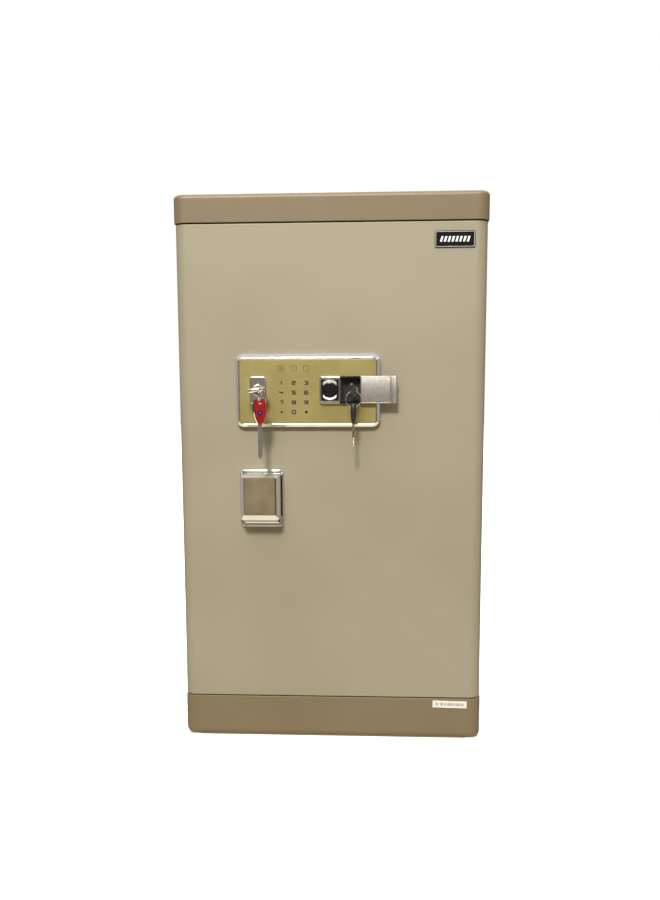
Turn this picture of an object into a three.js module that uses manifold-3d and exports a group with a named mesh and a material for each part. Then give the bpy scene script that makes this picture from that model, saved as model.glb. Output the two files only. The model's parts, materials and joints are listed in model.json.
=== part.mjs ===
// An upright fire-resistant home safe with a keypad, a fingerprint reader and two key locks.
// Millimetres, +Z up. The origin is the middle of the underside, and the door faces -Y.
import * as THREE from 'three'
import { mergeVertices } from 'three/addons/utils/BufferGeometryUtils.js'
import Module from 'manifold-3d'

const wasm = await Module()
wasm.setup()

// Overall sizes
const WIDTH = 450
const DEPTH = 400
const HEIGHT = 800
const PLINTH_H = 62
const CAP_H = 40
const CAP_PROUD = 1
const WALL = 42

// Sheet thicknesses and bends
const SHELL_T = 2
const PLATE_T = 3
const THIN_T = 1.5
const BEND_R = 16
const CAP_EDGE_R = 6
const FOOT_EDGE_R = 9

// Clearances
const GAP = 0.3
const DOOR_SIDE_GAP = 1
const DOOR_END_GAP = 1.4
const FRAME_GAP = 4.5
const PLUG_SIDE_CLEAR = 7
const PLUG_END_CLEAR = 6
const RUN = 0.12
const SLIDE_CLEAR = 0.5
const SOCKET_CLEAR = 2

// How far a cutter runs past the face that it cuts
const OVER = 1

// Door and cavity
const DOOR_T = 38
const PLUG_DEPTH = 44
const FRAME_DEPTH = 45.5
const CAVITY_END = 4
const DOOR_LIP = 22
const SEAL = { w: 12, h: 2.3, outX: 5, clear: 1.1 }

// Door pivots, measured from the door's hinge side and front
const PIVOT_IN = 12
const PIVOT_BACK = 20
const PIVOT_R = 5
const BUSH_R = 8
const BUSH_L = 24
const BUSH_ROOM = 5
const PIN_SHORT = 3
const PIN_INTO = 10

// Boltwork
const BOLT_R = 9
const BOLT_THROW = 20
const BOLT_END_MARGIN = 190
const BOLT_L = 43.5
const CARRIAGE_T = 4
const CARRIAGE_BAR_W = 12
const CRANK_PIN_R = 3
const CRANK_T = 3.6
const CRANK_R = BOLT_THROW / Math.SQRT2
const PLUNGER_R = 3
const PLUNGER_STROKE = 4
const SOLENOID = { half: 7, up: 24, h: 38, front: 9, blind: 4, reach: 8 }
const DOG = { h: 210, t: 8, out: 2 }
const DOG_SLOT = { end: 10, front: 12, back: 14 }
const GUIDE = { t: 12, end: 5, wall: 3 }
const TAB = { h: 24, past: 12 }
const CARRIAGE_OFF = 6
const CRANK_OFF = 0.8
const HUB_T = 4
const PIN_BOSS = 2.5
const PIN_SLACK = 0.8

// Battery pack and circuit board, measured from the cover's sides and the panel's top
const PACK = { w: 70, h: 110, fromSide: 70, up: 60, ledge: 4 }
const LID = { t: 2, over: 3, gripIn: 20, gripDown: 10, gripH: 4, gripT: 2.5 }
const BOARD = { w: 110, h: 70, t: 1.6, off: 3, right: 60, up: 18 }

// Handle, measured from the door's left edge and top
const HANDLE_IN = 122.3
const HANDLE_DOWN = 393
const HANDLE_PLATE = { w: 64, h: 85.5, t: 4, r: 5 }
const HANDLE_PLATE_BEVEL = 1.2
const KNOB = { w: 58, h: 68, t: 28, r: 5, bevel: 4, rise: 3.2, socket: 12 }
const KNOB_FACE = { w: 46, h: 54.5, t: 1.6, r: 1.5, rise: 5.6, proud: 0.2 }
const SPINDLE_R = 5

// Control panel, measured from the door's left edge and top
const PANEL_IN = 87
const PANEL_DOWN = 183
const PANEL = { w: 209, h: 105, t: 11, r: 8, bevel: 3.4 }
const PANEL_RIM = 5.4
const FASCIA_T = 2.2
const FASCIA_BACK = 0.8
const CABLE_HOLE_R = 6
const CABLE_DOWN = 22
const BED_R = 2
const BED_LEDGE = 2

// Main key lock, measured from the panel's left and top edges
const MAIN_IN = 32.6
const MAIN_DOWN = 52
const MAIN_PLATE = { w: 24, h: 40, t: 2.7, r: 3.5, bevel: 0.9 }
const CAM = { half: 5, t: 2.5, h: 22 }
const MAIN_BARREL_R = 9
const MAIN_PLUG_R = 6
const MAIN_REST = THREE.MathUtils.degToRad(-8)

// Fingerprint and emergency-key module, measured from the panel's right edge
const MODULE = { w: 87, h: 39, t: 1, r: 4 }
const READER_W = 28
const BEZEL = { side: 3, end: 8, r: 1, deep: 2.4, sunk: 0.4, t: 1.7 }
const EYE = { r: 10.2, proud: 0.2, boss: 8.2, clear: 0.4 }
const WELL_IN = 3
const WELL_OFF = 2
const RAIL_T = 4
const RAIL_H = 3
const RAIL_GROOVE = 1.8
const GROOVE = { front: 2.8, back: 1.2, slack: 0.2 }
const COVER = { w: 52.6, t: 2, open: 25, tail: 3, r: 0.8, bevel: 0.5 }
const SPARE_BARREL_R = 7
const SPARE_PLUG_R = 4.5
const SPARE_IN = 37
const SPARE_REST = THREE.MathUtils.degToRad(-17)

// Keys and their rings
const WIRE_R = 0.9
const MAIN_RING_R = 10
const SPARE_RING_R = 11
const BOW = { w: 29, l: 24, t: 2.4, r: 9, slotX: 7, slotHalf: 3, slotR: 2.9, slotFrom: 2.5, slotTo: 11 }
const MAIN_KEY = { neckL: 12, neckW: 10, bladeW: 8.4, bladeT: 1.7, bladeL: 27 }
const MAIN_HEAD = { w: 17, h: 36, t: 5, bladeW: 7, bladeT: 2, bladeL: 48, hole: 3, holeDown: 5.4 }
const SPARE_KEY = { headT: 9, headH: 24, headL: 24, r: 2, hole: 4, holeIn: 8, neckL: 16, shaftR: 2.5,
  shaftL: 13 }
const SPARE_HEAD = { w: 18, h: 28, shaftR: 2.3, shaftL: 35, holeDown: 6.5 }
const WIRE_CLEAR = 0.25
const ROOTED = 2

// Inside fittings
const SHELF_T = 1.5
const SHELF_LIP = 16
const SHELF_BACK = 6
const SHELF_UP = 350
const PEG_R = 4
const PEG_OUT = 14
const PEG_IN = 9
const PEG_FROM_END = 45
const SHELF_SIDE = 2
const SHELF_FRONT = 8
const MAT_T = 2.5
const MAT_SIDE = 3
const MAT_FRONT = 5

// Labels
const BADGE = { w: 57, h: 23, t: 1.2, r: 2, bevel: 0.3, right: 18.4, down: 25 }
const LABEL = { w: 51.5, h: 11, t: 0.3, r: 0.8, glue: 0.05, right: 46, up: 53, tilt: -0.02 }

// Places worked out from the sizes above
const side = WIDTH / 2
const front = -DEPTH / 2
const back = DEPTH / 2
const capBottom = HEIGHT - CAP_H
const doorX = side - DOOR_SIDE_GAP
const doorZ = [PLINTH_H + DOOR_END_GAP, capBottom - DOOR_END_GAP]
const doorBack = front + DOOR_T
const frameFront = doorBack + FRAME_GAP
const cavityX = side - WALL
const cavityZ = [PLINTH_H + CAVITY_END, capBottom - CAVITY_END]
const cavityBack = back - WALL
const frameBack = frameFront + FRAME_DEPTH
const plugX = cavityX - PLUG_SIDE_CLEAR
const plugZ = [cavityZ[0] + PLUG_END_CLEAR, cavityZ[1] - PLUG_END_CLEAR]
const plugBack = doorBack + PLUG_DEPTH
const pivot = { x: side - PIVOT_IN, y: front + PIVOT_BACK }
const handle = { x: -doorX + HANDLE_IN, z: doorZ[1] - HANDLE_DOWN }
const panelX = [-doorX + PANEL_IN, -doorX + PANEL_IN + PANEL.w]
const panelZ = [doorZ[1] - PANEL_DOWN - PANEL.h, doorZ[1] - PANEL_DOWN]
const panelFront = front - GAP - PANEL.t
const fasciaFront = panelFront + FASCIA_BACK
const mainLock = { x: panelX[0] + MAIN_IN, z: panelZ[1] - MAIN_DOWN }
const moduleX = [panelX[1] - MODULE.w, panelX[1]]
const moduleZ = [mainLock.z - MODULE.h / 2, mainLock.z + MODULE.h / 2]
const moduleBack = fasciaFront - GAP
const railFront = moduleBack - MODULE.t - RAIL_T
const coverX = [panelX[1] + COVER.open - COVER.w, panelX[1] + COVER.open]
const wellX = [moduleX[0] + READER_W + WELL_IN, panelX[1] - PANEL_RIM - WELL_IN]
const wellZ = [moduleZ[0] + RAIL_H + GAP, moduleZ[1] - RAIL_H - GAP]
const wellFloor = front - WELL_OFF - GAP
const spareLock = { x: panelX[1] - SPARE_IN, z: mainLock.z - 2 }
const plateBack = doorBack + GAP + PLATE_T
const carriageY = [plateBack + CARRIAGE_OFF, plateBack + CARRIAGE_OFF + CARRIAGE_T]
const boltY = carriageY[1] + 0.4 + BOLT_R
const boltTip = -plugX - THIN_T
const carriageX = boltTip + BOLT_L - CARRIAGE_BAR_W / 2
const boltZ = [plugZ[0] + BOLT_END_MARGIN, (plugZ[0] + plugZ[1]) / 2, plugZ[1] - BOLT_END_MARGIN]
const plungerX = carriageX + CARRIAGE_BAR_W + SOLENOID.half + 1.5
const tabTop = handle.z - 1
const plugMiddle = (plugZ[0] + plugZ[1]) / 2

// ---------------------------------------------------------------- solids

function solidFrom(geometry) {
  for (const name of Object.keys(geometry.attributes)) {
    if (name !== 'position') geometry.deleteAttribute(name)
  }
  const merged = mergeVertices(geometry, 1e-4)
  const vertProperties = new Float32Array(merged.attributes.position.array)
  const triVerts = new Uint32Array(merged.index.array)
  return new wasm.Manifold(new wasm.Mesh({ numProp: 3, vertProperties, triVerts }))
}

function geometryFrom(solid) {
  const mesh = solid.getMesh()
  const geometry = new THREE.BufferGeometry()
  geometry.setAttribute('position', new THREE.BufferAttribute(mesh.vertProperties, 3))
  geometry.setIndex(new THREE.BufferAttribute(mesh.triVerts, 1))
  geometry.computeVertexNormals()
  return geometry
}

function block(x, y, z) {
  const geometry = new THREE.BoxGeometry(x[1] - x[0], y[1] - y[0], z[1] - z[0])
  geometry.translate((x[0] + x[1]) / 2, (y[0] + y[1]) / 2, (z[0] + z[1]) / 2)
  return solidFrom(geometry)
}

// A round bar along x, y or z. The other two coordinates of its centre follow in x, y, z order.
function bar(axis, centre, radius, span, segments = 24) {
  const geometry = new THREE.CylinderGeometry(radius, radius, span[1] - span[0], segments)
  const middle = (span[0] + span[1]) / 2
  if (axis === 'x') geometry.rotateZ(Math.PI / 2).translate(middle, centre[0], centre[1])
  if (axis === 'y') geometry.translate(centre[0], middle, centre[1])
  if (axis === 'z') geometry.rotateX(Math.PI / 2).translate(centre[0], centre[1], middle)
  return solidFrom(geometry)
}

// A rectangle whose corners, from the lower left anticlockwise, have the four radii given.
function roundedRect(x, y, radii) {
  const [a, b, c, d] = typeof radii === 'number' ? [radii, radii, radii, radii] : radii
  const shape = new THREE.Shape()
  shape.moveTo(x[0] + a, y[0])
  shape.lineTo(x[1] - b, y[0])
  if (b) shape.absarc(x[1] - b, y[0] + b, b, -Math.PI / 2, 0)
  shape.lineTo(x[1], y[1] - c)
  if (c) shape.absarc(x[1] - c, y[1] - c, c, 0, Math.PI / 2)
  shape.lineTo(x[0] + d, y[1])
  if (d) shape.absarc(x[0] + d, y[1] - d, d, Math.PI / 2, Math.PI)
  shape.lineTo(x[0], y[0] + a)
  if (a) shape.absarc(x[0] + a, y[0] + a, a, Math.PI, Math.PI * 1.5)
  return shape
}

// A plan outline carried up from z[0] to z[1].
function upright(shape, z, segments = 5) {
  const options = { depth: z[1] - z[0], bevelEnabled: false, curveSegments: segments }
  return solidFrom(new THREE.ExtrudeGeometry(shape, options).translate(0, 0, z[0]))
}

// A front outline, drawn in x and z, carried from y[1] forwards to y[0]. Its front edge is bevelled.
function facing(shape, y, { bevel = 0, steps = 1, segments = 3 } = {}) {
  const depth = y[1] - y[0] - bevel
  const options = {
    depth, curveSegments: segments, bevelEnabled: bevel > 0, bevelThickness: bevel,
    bevelSize: bevel, bevelOffset: -bevel, bevelSegments: steps,
  }
  const geometry = new THREE.ExtrudeGeometry(shape, options).rotateX(Math.PI / 2).translate(0, y[1], 0)
  const solid = solidFrom(geometry)
  if (!bevel) return solid
  const reach = 2 * (WIDTH + HEIGHT)
  const straight = { depth: depth / 2, bevelEnabled: false, curveSegments: segments }
  const rear = new THREE.ExtrudeGeometry(shape, straight).rotateX(Math.PI / 2).translate(0, y[1], 0)
  const square = solidFrom(rear)
  const ahead = block([-reach, reach], [y[0] - OVER, y[1]], [-reach, reach])
  return solid.intersect(ahead).add(square)
}

function centred(x, z, size) {
  return roundedRect([x - size.w / 2, x + size.w / 2], [z - size.h / 2, z + size.h / 2], size.r ?? 0)
}

function cut(solid, ...tools) {
  return tools.reduce((result, tool) => result.subtract(tool), solid)
}

function join(...solids) {
  return solids.reduce((result, next) => result.add(next))
}

// ---------------------------------------------------------------- materials

function finish(color, roughness, metalness) {
  return new THREE.MeshStandardMaterial({ color, roughness, metalness })
}

const doorPaint = finish(0xb0a68c, 0.55, 0.2)
const trimPaint = finish(0x8d7d62, 0.55, 0.2)
const cement = finish(0xb9b4a8, 0.95, 0)
const innerPaint = finish(0x9a9484, 0.6, 0.2)
const zincSteel = finish(0xb6b8ba, 0.4, 0.9)
const chrome = finish(0xd8d8d6, 0.12, 1)
const goldFace = finish(0xaaa062, 0.35, 0.9)
const taupeFace = finish(0x887a5e, 0.5, 0.5)
const brass = finish(0xb99a55, 0.35, 1)
const blackPlastic = finish(0x111112, 0.5, 0)
const glossBlack = finish(0x08080a, 0.12, 0)
const redPlastic = finish(0x8e1518, 0.35, 0)
const sealGrey = finish(0x5b5a58, 0.9, 0)
const circuitGreen = finish(0x1f5a34, 0.5, 0)
const felt = finish(0x4a4741, 1, 0)
const whiteLabel = finish(0xe9e6de, 0.6, 0)

const group = new THREE.Group()

function piece(name, solid, material, parent = group) {
  const mesh = new THREE.Mesh(geometryFrom(solid), material)
  mesh.name = name
  parent.add(mesh)
  return mesh
}

// ---------------------------------------------------------------- cabinet

function addPlinth() {
  const plan = roundedRect([-side, side], [front, back], BEND_R)
  const face = roundedRect([-side, side], [0, PLINTH_H], [FOOT_EDGE_R, FOOT_EDGE_R, 0, 0])
  const inX = side - PLATE_T
  const inner = roundedRect([-inX, inX], [front + PLATE_T, back - PLATE_T], BEND_R - PLATE_T)
  const body = upright(plan, [0, PLINTH_H]).intersect(facing(face, [front - OVER, back + OVER]))
  const pinHole = bar('z', [pivot.x, pivot.y], PIVOT_R + GAP, [0, PLINTH_H + OVER])
  piece('base_plinth', cut(body, upright(inner, [-OVER, PLINTH_H - PLATE_T]), pinHole), trimPaint)

  const plateX = inX - GAP - FOOT_EDGE_R
  const plate = roundedRect([-plateX, plateX], [front + PLATE_T + GAP, back - PLATE_T - GAP], BEND_R)
  piece('base_plate', upright(plate, [0, PLATE_T], 4), trimPaint)

  const pinRoom = bar('z', [pivot.x, pivot.y], PIVOT_R + FOOT_EDGE_R, [PLATE_T, PLINTH_H])
  const fillZ = [PLATE_T + GAP, PLINTH_H - PLATE_T - GAP]
  piece('base_fill', cut(upright(plate, fillZ, 4), pinRoom), cement)
}

function addCap() {
  const x = side + CAP_PROUD
  const y = back + CAP_PROUD
  const plan = roundedRect([-x, x], [-y, y], BEND_R)
  const options = {
    depth: CAP_H - GAP, curveSegments: 5, bevelThickness: CAP_EDGE_R,
    bevelSize: CAP_EDGE_R, bevelOffset: -CAP_EDGE_R, bevelSegments: 3,
  }
  const rounded = new THREE.ExtrudeGeometry(plan, options).translate(0, 0, capBottom + GAP - CAP_EDGE_R)
  const band = upright(plan, [capBottom + GAP, HEIGHT - CAP_EDGE_R])
  const lid = solidFrom(rounded).intersect(block([-x, x], [-y, y], [capBottom + GAP, HEIGHT])).add(band)
  const inX = side - PLATE_T + CAP_PROUD
  const inY = back - PLATE_T + CAP_PROUD
  const inner = roundedRect([-inX, inX], [-inY, inY], BEND_R - PLATE_T)
  const roofUnder = HEIGHT - PLATE_T - CAP_EDGE_R / 2
  piece('top_cap', cut(lid, upright(inner, [capBottom - OVER, roofUnder])), trimPaint)

  const fitX = inX - GAP
  const fitY = inY - GAP
  const flat = roundedRect([-fitX, fitX], [-fitY, fitY], BEND_R - PLATE_T)
  const pinHole = bar('z', [pivot.x, pivot.y], PIVOT_R + GAP, [capBottom, HEIGHT])
  const plateZ = [capBottom + GAP, capBottom + GAP + PLATE_T]
  piece('top_plate', cut(upright(flat, plateZ, 4), pinHole), trimPaint)

  const pinRoom = bar('z', [pivot.x, pivot.y], PIVOT_R + SOCKET_CLEAR, [capBottom, HEIGHT])
  const fillZ = [plateZ[1] + GAP, roofUnder - GAP]
  piece('top_fill', cut(upright(flat, fillZ, 4), pinRoom), cement)
}

// The shell is one sheet bent round the left side, the back and the right side.
function addShell() {
  const outer = roundedRect([-side, side], [frameFront, back], [0, 0, BEND_R, BEND_R])
  const inX = side - SHELL_T
  const inR = BEND_R - SHELL_T
  const inner = roundedRect([-inX, inX], [frameFront - OVER, back - SHELL_T], [0, 0, inR, inR])
  const z = [PLINTH_H + GAP, capBottom]
  piece('outer_shell', cut(upright(outer, z), upright(inner, [z[0] - OVER, z[1] + OVER])), doorPaint)
}

function boltSockets(radius, x, segments = 12) {
  return boltZ.map((z) => bar('x', [boltY, z], radius, x, segments))
}

// The hinge-side dog bar swings in and out through this slot.
function dogSlot(x, extra = 0) {
  const halfH = DOG.h / 2 + DOG_SLOT.end + extra
  const y = [boltY - DOG_SLOT.front - extra, boltY + DOG_SLOT.back + extra]
  return block(x, y, [plugMiddle - halfH, plugMiddle + halfH])
}

function addFrontFrame() {
  const x = side - SHELL_T - GAP
  const z = [PLINTH_H + GAP, capBottom - GAP]
  const ring = block([-x, x], [frameFront, frameFront + PLATE_T], z)
  const returnX = cavityX + PLATE_T
  const returnZ = [cavityZ[0] - PLATE_T, cavityZ[1] + PLATE_T]
  const returns = block([-returnX, returnX], [frameFront, frameBack], returnZ)
  const opening = block([-cavityX, cavityX], [frameFront - OVER, frameBack + OVER], cavityZ)
  const sockets = boltSockets(BOLT_R + SOCKET_CLEAR, [-returnX - OVER, -cavityX + OVER])
  const slot = dogSlot([cavityX - OVER, returnX + OVER])
  piece('front_frame', cut(ring.add(returns), opening, ...sockets, slot), innerPaint)
}

function addLiner() {
  const y = [frameBack + GAP, cavityBack]
  const x = cavityX + THIN_T
  const outer = block([-x, x], [y[0], y[1] + THIN_T], [cavityZ[0] - THIN_T, cavityZ[1] + THIN_T])
  const inner = block([-cavityX, cavityX], [y[0] - OVER, y[1]], cavityZ)
  const pegs = []
  for (const peg of pegPlaces()) {
    const span = peg.side > 0 ? [cavityX - OVER, x + OVER] : [-x - OVER, OVER - cavityX]
    pegs.push(bar('x', [peg.y, peg.z], PEG_R + GAP, span, 12))
  }
  piece('inner_liner', cut(outer, inner, ...pegs), innerPaint)
}

function addWallFill() {
  const outX = side - SHELL_T - GAP
  const outR = BEND_R - SHELL_T
  const y = [frameFront + PLATE_T + GAP, back - SHELL_T - GAP]
  const z = [PLINTH_H + 2 * GAP, capBottom - 2 * GAP]
  const inX = cavityX + PLATE_T + GAP
  const outer = upright(roundedRect([-outX, outX], y, [0, 0, outR, outR]), z, 4)
  const inner = block([-inX, inX], [y[0] - OVER, cavityBack + THIN_T + GAP], [z[0] - OVER, z[1] + OVER])
  const sockets = boltSockets(BOLT_R + SOCKET_CLEAR, [-inX - BOLT_THROW, -inX + OVER])
  const pegs = pegPlaces().map((peg) => {
    const span = peg.side > 0 ? [0, inX + PEG_IN] : [-inX - PEG_IN, 0]
    return bar('x', [peg.y, peg.z], PEG_R + 1.5, span, 8)
  })
  const dogRoom = dogSlot([0, inX + DOG.t], SOCKET_CLEAR)
  piece('wall_fill', cut(outer, inner, ...sockets, dogRoom, ...pegs), cement)
}

// The ring of heat-swelling strip on the front frame, clear of the door's turning corner.
function addSeal() {
  const y = [doorBack + SEAL.clear, frameFront - GAP]
  const inX = cavityX + SEAL.outX
  const outX = inX + SEAL.w
  const inZ = [cavityZ[0] - 1, cavityZ[1] + 1]
  const ring = block([-outX, outX], y, [inZ[0] - SEAL.h, inZ[1] + SEAL.h])
  piece('door_seal', cut(ring, block([-inX, inX], [y[0] - OVER, y[1] + OVER], inZ)), sealGrey)
}

function pegPlaces() {
  const z = cavityZ[0] + SHELF_UP - PEG_R - SHELF_T - GAP
  const places = []
  for (const pegSide of [-1, 1]) {
    places.push({ side: pegSide, y: frameBack + PEG_FROM_END, z })
    places.push({ side: pegSide, y: cavityBack - PEG_FROM_END, z })
  }
  return places
}

function addShelf() {
  const x = cavityX - SHELF_SIDE
  const y = [frameBack + SHELF_FRONT, cavityBack - SHELF_BACK]
  const top = cavityZ[0] + SHELF_UP
  const sheet = block([-x, x], y, [top - SHELF_T, top])
  const lip = block([-x, x], [y[0], y[0] + SHELF_T], [top - SHELF_LIP, top])
  const rearLip = block([-x, x], [y[1] - SHELF_T, y[1]], [top - SHELF_LIP, top])
  piece('shelf', join(sheet, lip, rearLip), innerPaint)
  pegPlaces().forEach((peg, index) => {
    const tips = [cavityX - PEG_OUT, cavityX + PEG_IN]
    const span = peg.side > 0 ? tips : [-tips[1], -tips[0]]
    piece(`shelf_peg_${index + 1}`, bar('x', [peg.y, peg.z], PEG_R, span, 12), zincSteel)
  })
}

function addMat() {
  const x = cavityX - MAT_SIDE
  const y = [frameBack + MAT_FRONT, cavityBack - MAT_SIDE]
  const z = cavityZ[0] + GAP
  piece('floor_mat', block([-x, x], y, [z, z + MAT_T]), felt)
}

function addPivotPins() {
  const upper = [doorZ[1] - BUSH_L + PIN_SHORT, capBottom + GAP + PLATE_T + PIN_INTO]
  piece('upper_pivot_pin', bar('z', [pivot.x, pivot.y], PIVOT_R, upper), zincSteel)
  const lower = [PLINTH_H - PLATE_T - PIN_INTO, doorZ[0] + BUSH_L - PIN_SHORT]
  piece('lower_pivot_pin', bar('z', [pivot.x, pivot.y], PIVOT_R, lower), zincSteel)
}

function addSerialLabel() {
  const holder = new THREE.Group()
  holder.position.set(side - LABEL.right, front, LABEL.up)
  holder.rotation.y = LABEL.tilt
  group.add(holder)
  const y = [-LABEL.t - LABEL.glue, -LABEL.glue]
  piece('serial_label', facing(centred(0, 0, LABEL), y), whiteLabel, holder)
}

// ---------------------------------------------------------------- door

function handleBore(radius, y, segments = 24) {
  return bar('y', [handle.x, handle.z], radius, y, segments)
}

function mainBore(radius, y, segments = 24) {
  return bar('y', [mainLock.x, mainLock.z], radius, y, segments)
}

function spareBore(radius, y, segments = 24) {
  return bar('y', [spareLock.x, spareLock.z], radius, y, segments)
}

function doorBores(y) {
  const cable = bar('y', [(panelX[0] + panelX[1]) / 2, panelZ[1] - CABLE_DOWN], CABLE_HOLE_R, y, 12)
  return [handleBore(SPINDLE_R + SLIDE_CLEAR, y, 16), mainBore(MAIN_BARREL_R + SLIDE_CLEAR, y, 16),
    spareBore(SPARE_BARREL_R + SLIDE_CLEAR, y, 16), cable]
}

// The door's front is a folded pan, with lips turned in round its open back.
function addDoorPan() {
  const outer = roundedRect([-doorX, doorX], [front, doorBack], [BEND_R, BEND_R, 1, 1])
  const inX = doorX - SHELL_T
  const inR = BEND_R - PLATE_T
  const inner = roundedRect([-inX, inX], [front + PLATE_T, doorBack - SHELL_T], [inR, inR, 0, 0])
  const mouthX = doorX - DOOR_LIP
  const mouthZ = [doorZ[0] + DOOR_LIP, doorZ[1] - DOOR_LIP]
  const mouth = block([-mouthX, mouthX], [front + PLATE_T, doorBack + OVER], mouthZ)
  const hollow = upright(inner, [doorZ[0] + SHELL_T, doorZ[1] - SHELL_T])
  const through = [doorZ[0] - OVER, doorZ[1] + OVER]
  const bushHole = bar('z', [pivot.x, pivot.y], PIVOT_R + SLIDE_CLEAR, through)
  const bores = doorBores([front - OVER, front + PLATE_T + OVER])
  const pan = cut(upright(outer, doorZ), hollow, mouth, bushHole, ...bores)
  piece('door_outer_panel', pan, doorPaint)

  const fillX = inX - GAP
  const y = [front + PLATE_T + GAP, doorBack - SHELL_T - GAP]
  const z = [doorZ[0] + SHELL_T + GAP, doorZ[1] - SHELL_T - GAP]
  const fill = upright(roundedRect([-fillX, fillX], y, [inR, inR, 0, 0]), z, 4)
  const room = BUSH_R + GAP
  const roomX = [pivot.x - room, side]
  const upperRoom = block(roomX, [front, back], [doorZ[1] - BUSH_L - BUSH_ROOM, doorZ[1]])
  const lowerRoom = block(roomX, [front, back], [doorZ[0], doorZ[0] + BUSH_L + BUSH_ROOM])
  piece('door_fill', cut(fill, upperRoom, lowerRoom, ...doorBores([front, doorBack])), cement)
}

function addPivotBushes() {
  const inside = SHELL_T + GAP
  const spans = {
    upper_pivot_bush: [doorZ[1] - BUSH_L, doorZ[1] - inside],
    lower_pivot_bush: [doorZ[0] + inside, doorZ[0] + BUSH_L],
  }
  for (const [name, span] of Object.entries(spans)) {
    const bore = bar('z', [pivot.x, pivot.y], PIVOT_R + RUN, [span[0] - OVER, span[1] + OVER])
    piece(name, cut(bar('z', [pivot.x, pivot.y], BUSH_R, span), bore), brass)
  }
}

function addInnerCover() {
  const y = [doorBack + GAP, plugBack]
  const inX = plugX - THIN_T
  const outer = block([-plugX, plugX], y, plugZ)
  const inner = block([-inX, inX], [y[0] - OVER, y[1] - THIN_T], [plugZ[0] + THIN_T, plugZ[1] - THIN_T])
  const holes = boltSockets(BOLT_R + SLIDE_CLEAR, [-plugX - OVER, -inX + OVER])
  const [packX, packZ] = batterySpan()
  const hatchX = [packX[0] + PACK.ledge, packX[1] - PACK.ledge]
  const hatchZ = [packZ[0] + PACK.ledge, packZ[1] - PACK.ledge]
  const hatch = block(hatchX, [y[1] - THIN_T - OVER, y[1] + OVER], hatchZ)
  piece('door_inner_cover', cut(outer, inner, ...holes, hatch), innerPaint)

  const plateX = inX - GAP
  const plateZ = [plugZ[0] + THIN_T + GAP, plugZ[1] - THIN_T - GAP]
  const plate = block([-plateX, plateX], [y[0], plateBack], plateZ)
  piece('boltwork_plate', cut(plate, ...doorBores([y[0] - OVER, plateBack + OVER])), zincSteel)

  const dogX = [plugX + GAP, cavityX + PLATE_T + DOG.out]
  const dogY = [boltY - DOG.t / 2, boltY + DOG.t / 2]
  const dogZ = [plugMiddle - DOG.h / 2, plugMiddle + DOG.h / 2]
  piece('hinge_side_dog', block(dogX, dogY, dogZ), zincSteel)
}

function batterySpan() {
  const x = plugX - PACK.fromSide
  const z = plugMiddle + PACK.up
  return [[x - PACK.w / 2, x + PACK.w / 2], [z - PACK.h / 2, z + PACK.h / 2]]
}

function addElectrics() {
  const [packX, packZ] = batterySpan()
  piece('battery_pack', block(packX, [plateBack + GAP, plugBack - THIN_T - GAP], packZ), blackPlastic)
  const lidX = [packX[0] - LID.over, packX[1] + LID.over]
  const lidY = [plugBack + GAP, plugBack + GAP + LID.t]
  const lid = block(lidX, lidY, [packZ[0] - LID.over, packZ[1] + LID.over])
  const gripX = [packX[0] + LID.gripIn, packX[1] - LID.gripIn]
  const gripZ = [packZ[1] - LID.gripDown - LID.gripH, packZ[1] - LID.gripDown]
  const grip = block(gripX, [lidY[1] - SLIDE_CLEAR, lidY[1] + LID.gripT], gripZ)
  piece('battery_lid', lid.add(grip), blackPlastic)

  const middle = (panelX[0] + panelX[1]) / 2 + BOARD.right
  const boardX = [middle - BOARD.w / 2, middle + BOARD.w / 2]
  const boardY = [plateBack + BOARD.off, plateBack + BOARD.off + BOARD.t]
  const boardZ = [panelZ[1] + BOARD.up, panelZ[1] + BOARD.up + BOARD.h]
  piece('control_board', block(boardX, boardY, boardZ), circuitGreen)
}

function addBoltwork() {
  const low = Math.min(boltZ[0] - BOLT_R - GUIDE.end, tabTop - TAB.h)
  const high = Math.max(boltZ[2] + BOLT_R + GUIDE.end, tabTop)
  const guideX = [-plugX + THIN_T + GAP, -plugX + THIN_T + GAP + GUIDE.t]
  const guide = block(guideX, [plateBack + GAP, boltY + BOLT_R + GUIDE.wall], [low, high])
  const guideHoles = boltSockets(BOLT_R + RUN, [guideX[0] - OVER, guideX[1] + OVER], 24)
  piece('bolt_guide', cut(guide, ...guideHoles), zincSteel)

  const pin = { x: handle.x + CRANK_R * Math.SQRT1_2, z: handle.z - CRANK_R * Math.SQRT1_2 }
  const strip = block([carriageX, carriageX + CARRIAGE_BAR_W], carriageY, [low, high])
  const tab = block([carriageX + 1, pin.x + TAB.past], carriageY, [tabTop - TAB.h, tabTop])
  const slotX = [pin.x - CRANK_PIN_R - PIN_SLACK, pin.x + CRANK_PIN_R + PIN_SLACK]
  const slotZ = [handle.z - CRANK_R - CRANK_PIN_R - 1, pin.z + CRANK_PIN_R + 1]
  const throughY = [carriageY[0] - OVER, carriageY[1] + OVER]
  const slot = block(slotX, throughY, slotZ)
  const notches = [plungerX, plungerX + BOLT_THROW].map((x) => {
    const half = PLUNGER_R + SLIDE_CLEAR
    return block([x - half, x + half], throughY, [tabTop - PLUNGER_STROKE, tabTop + OVER])
  })
  piece('bolt_carriage', cut(strip.add(tab), slot, ...notches), zincSteel)
  boltZ.forEach((z, index) => {
    piece(`lock_bolt_${index + 1}`, bar('x', [boltY, z], BOLT_R, [boltTip, boltTip + BOLT_L]), chrome)
  })
}

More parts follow.
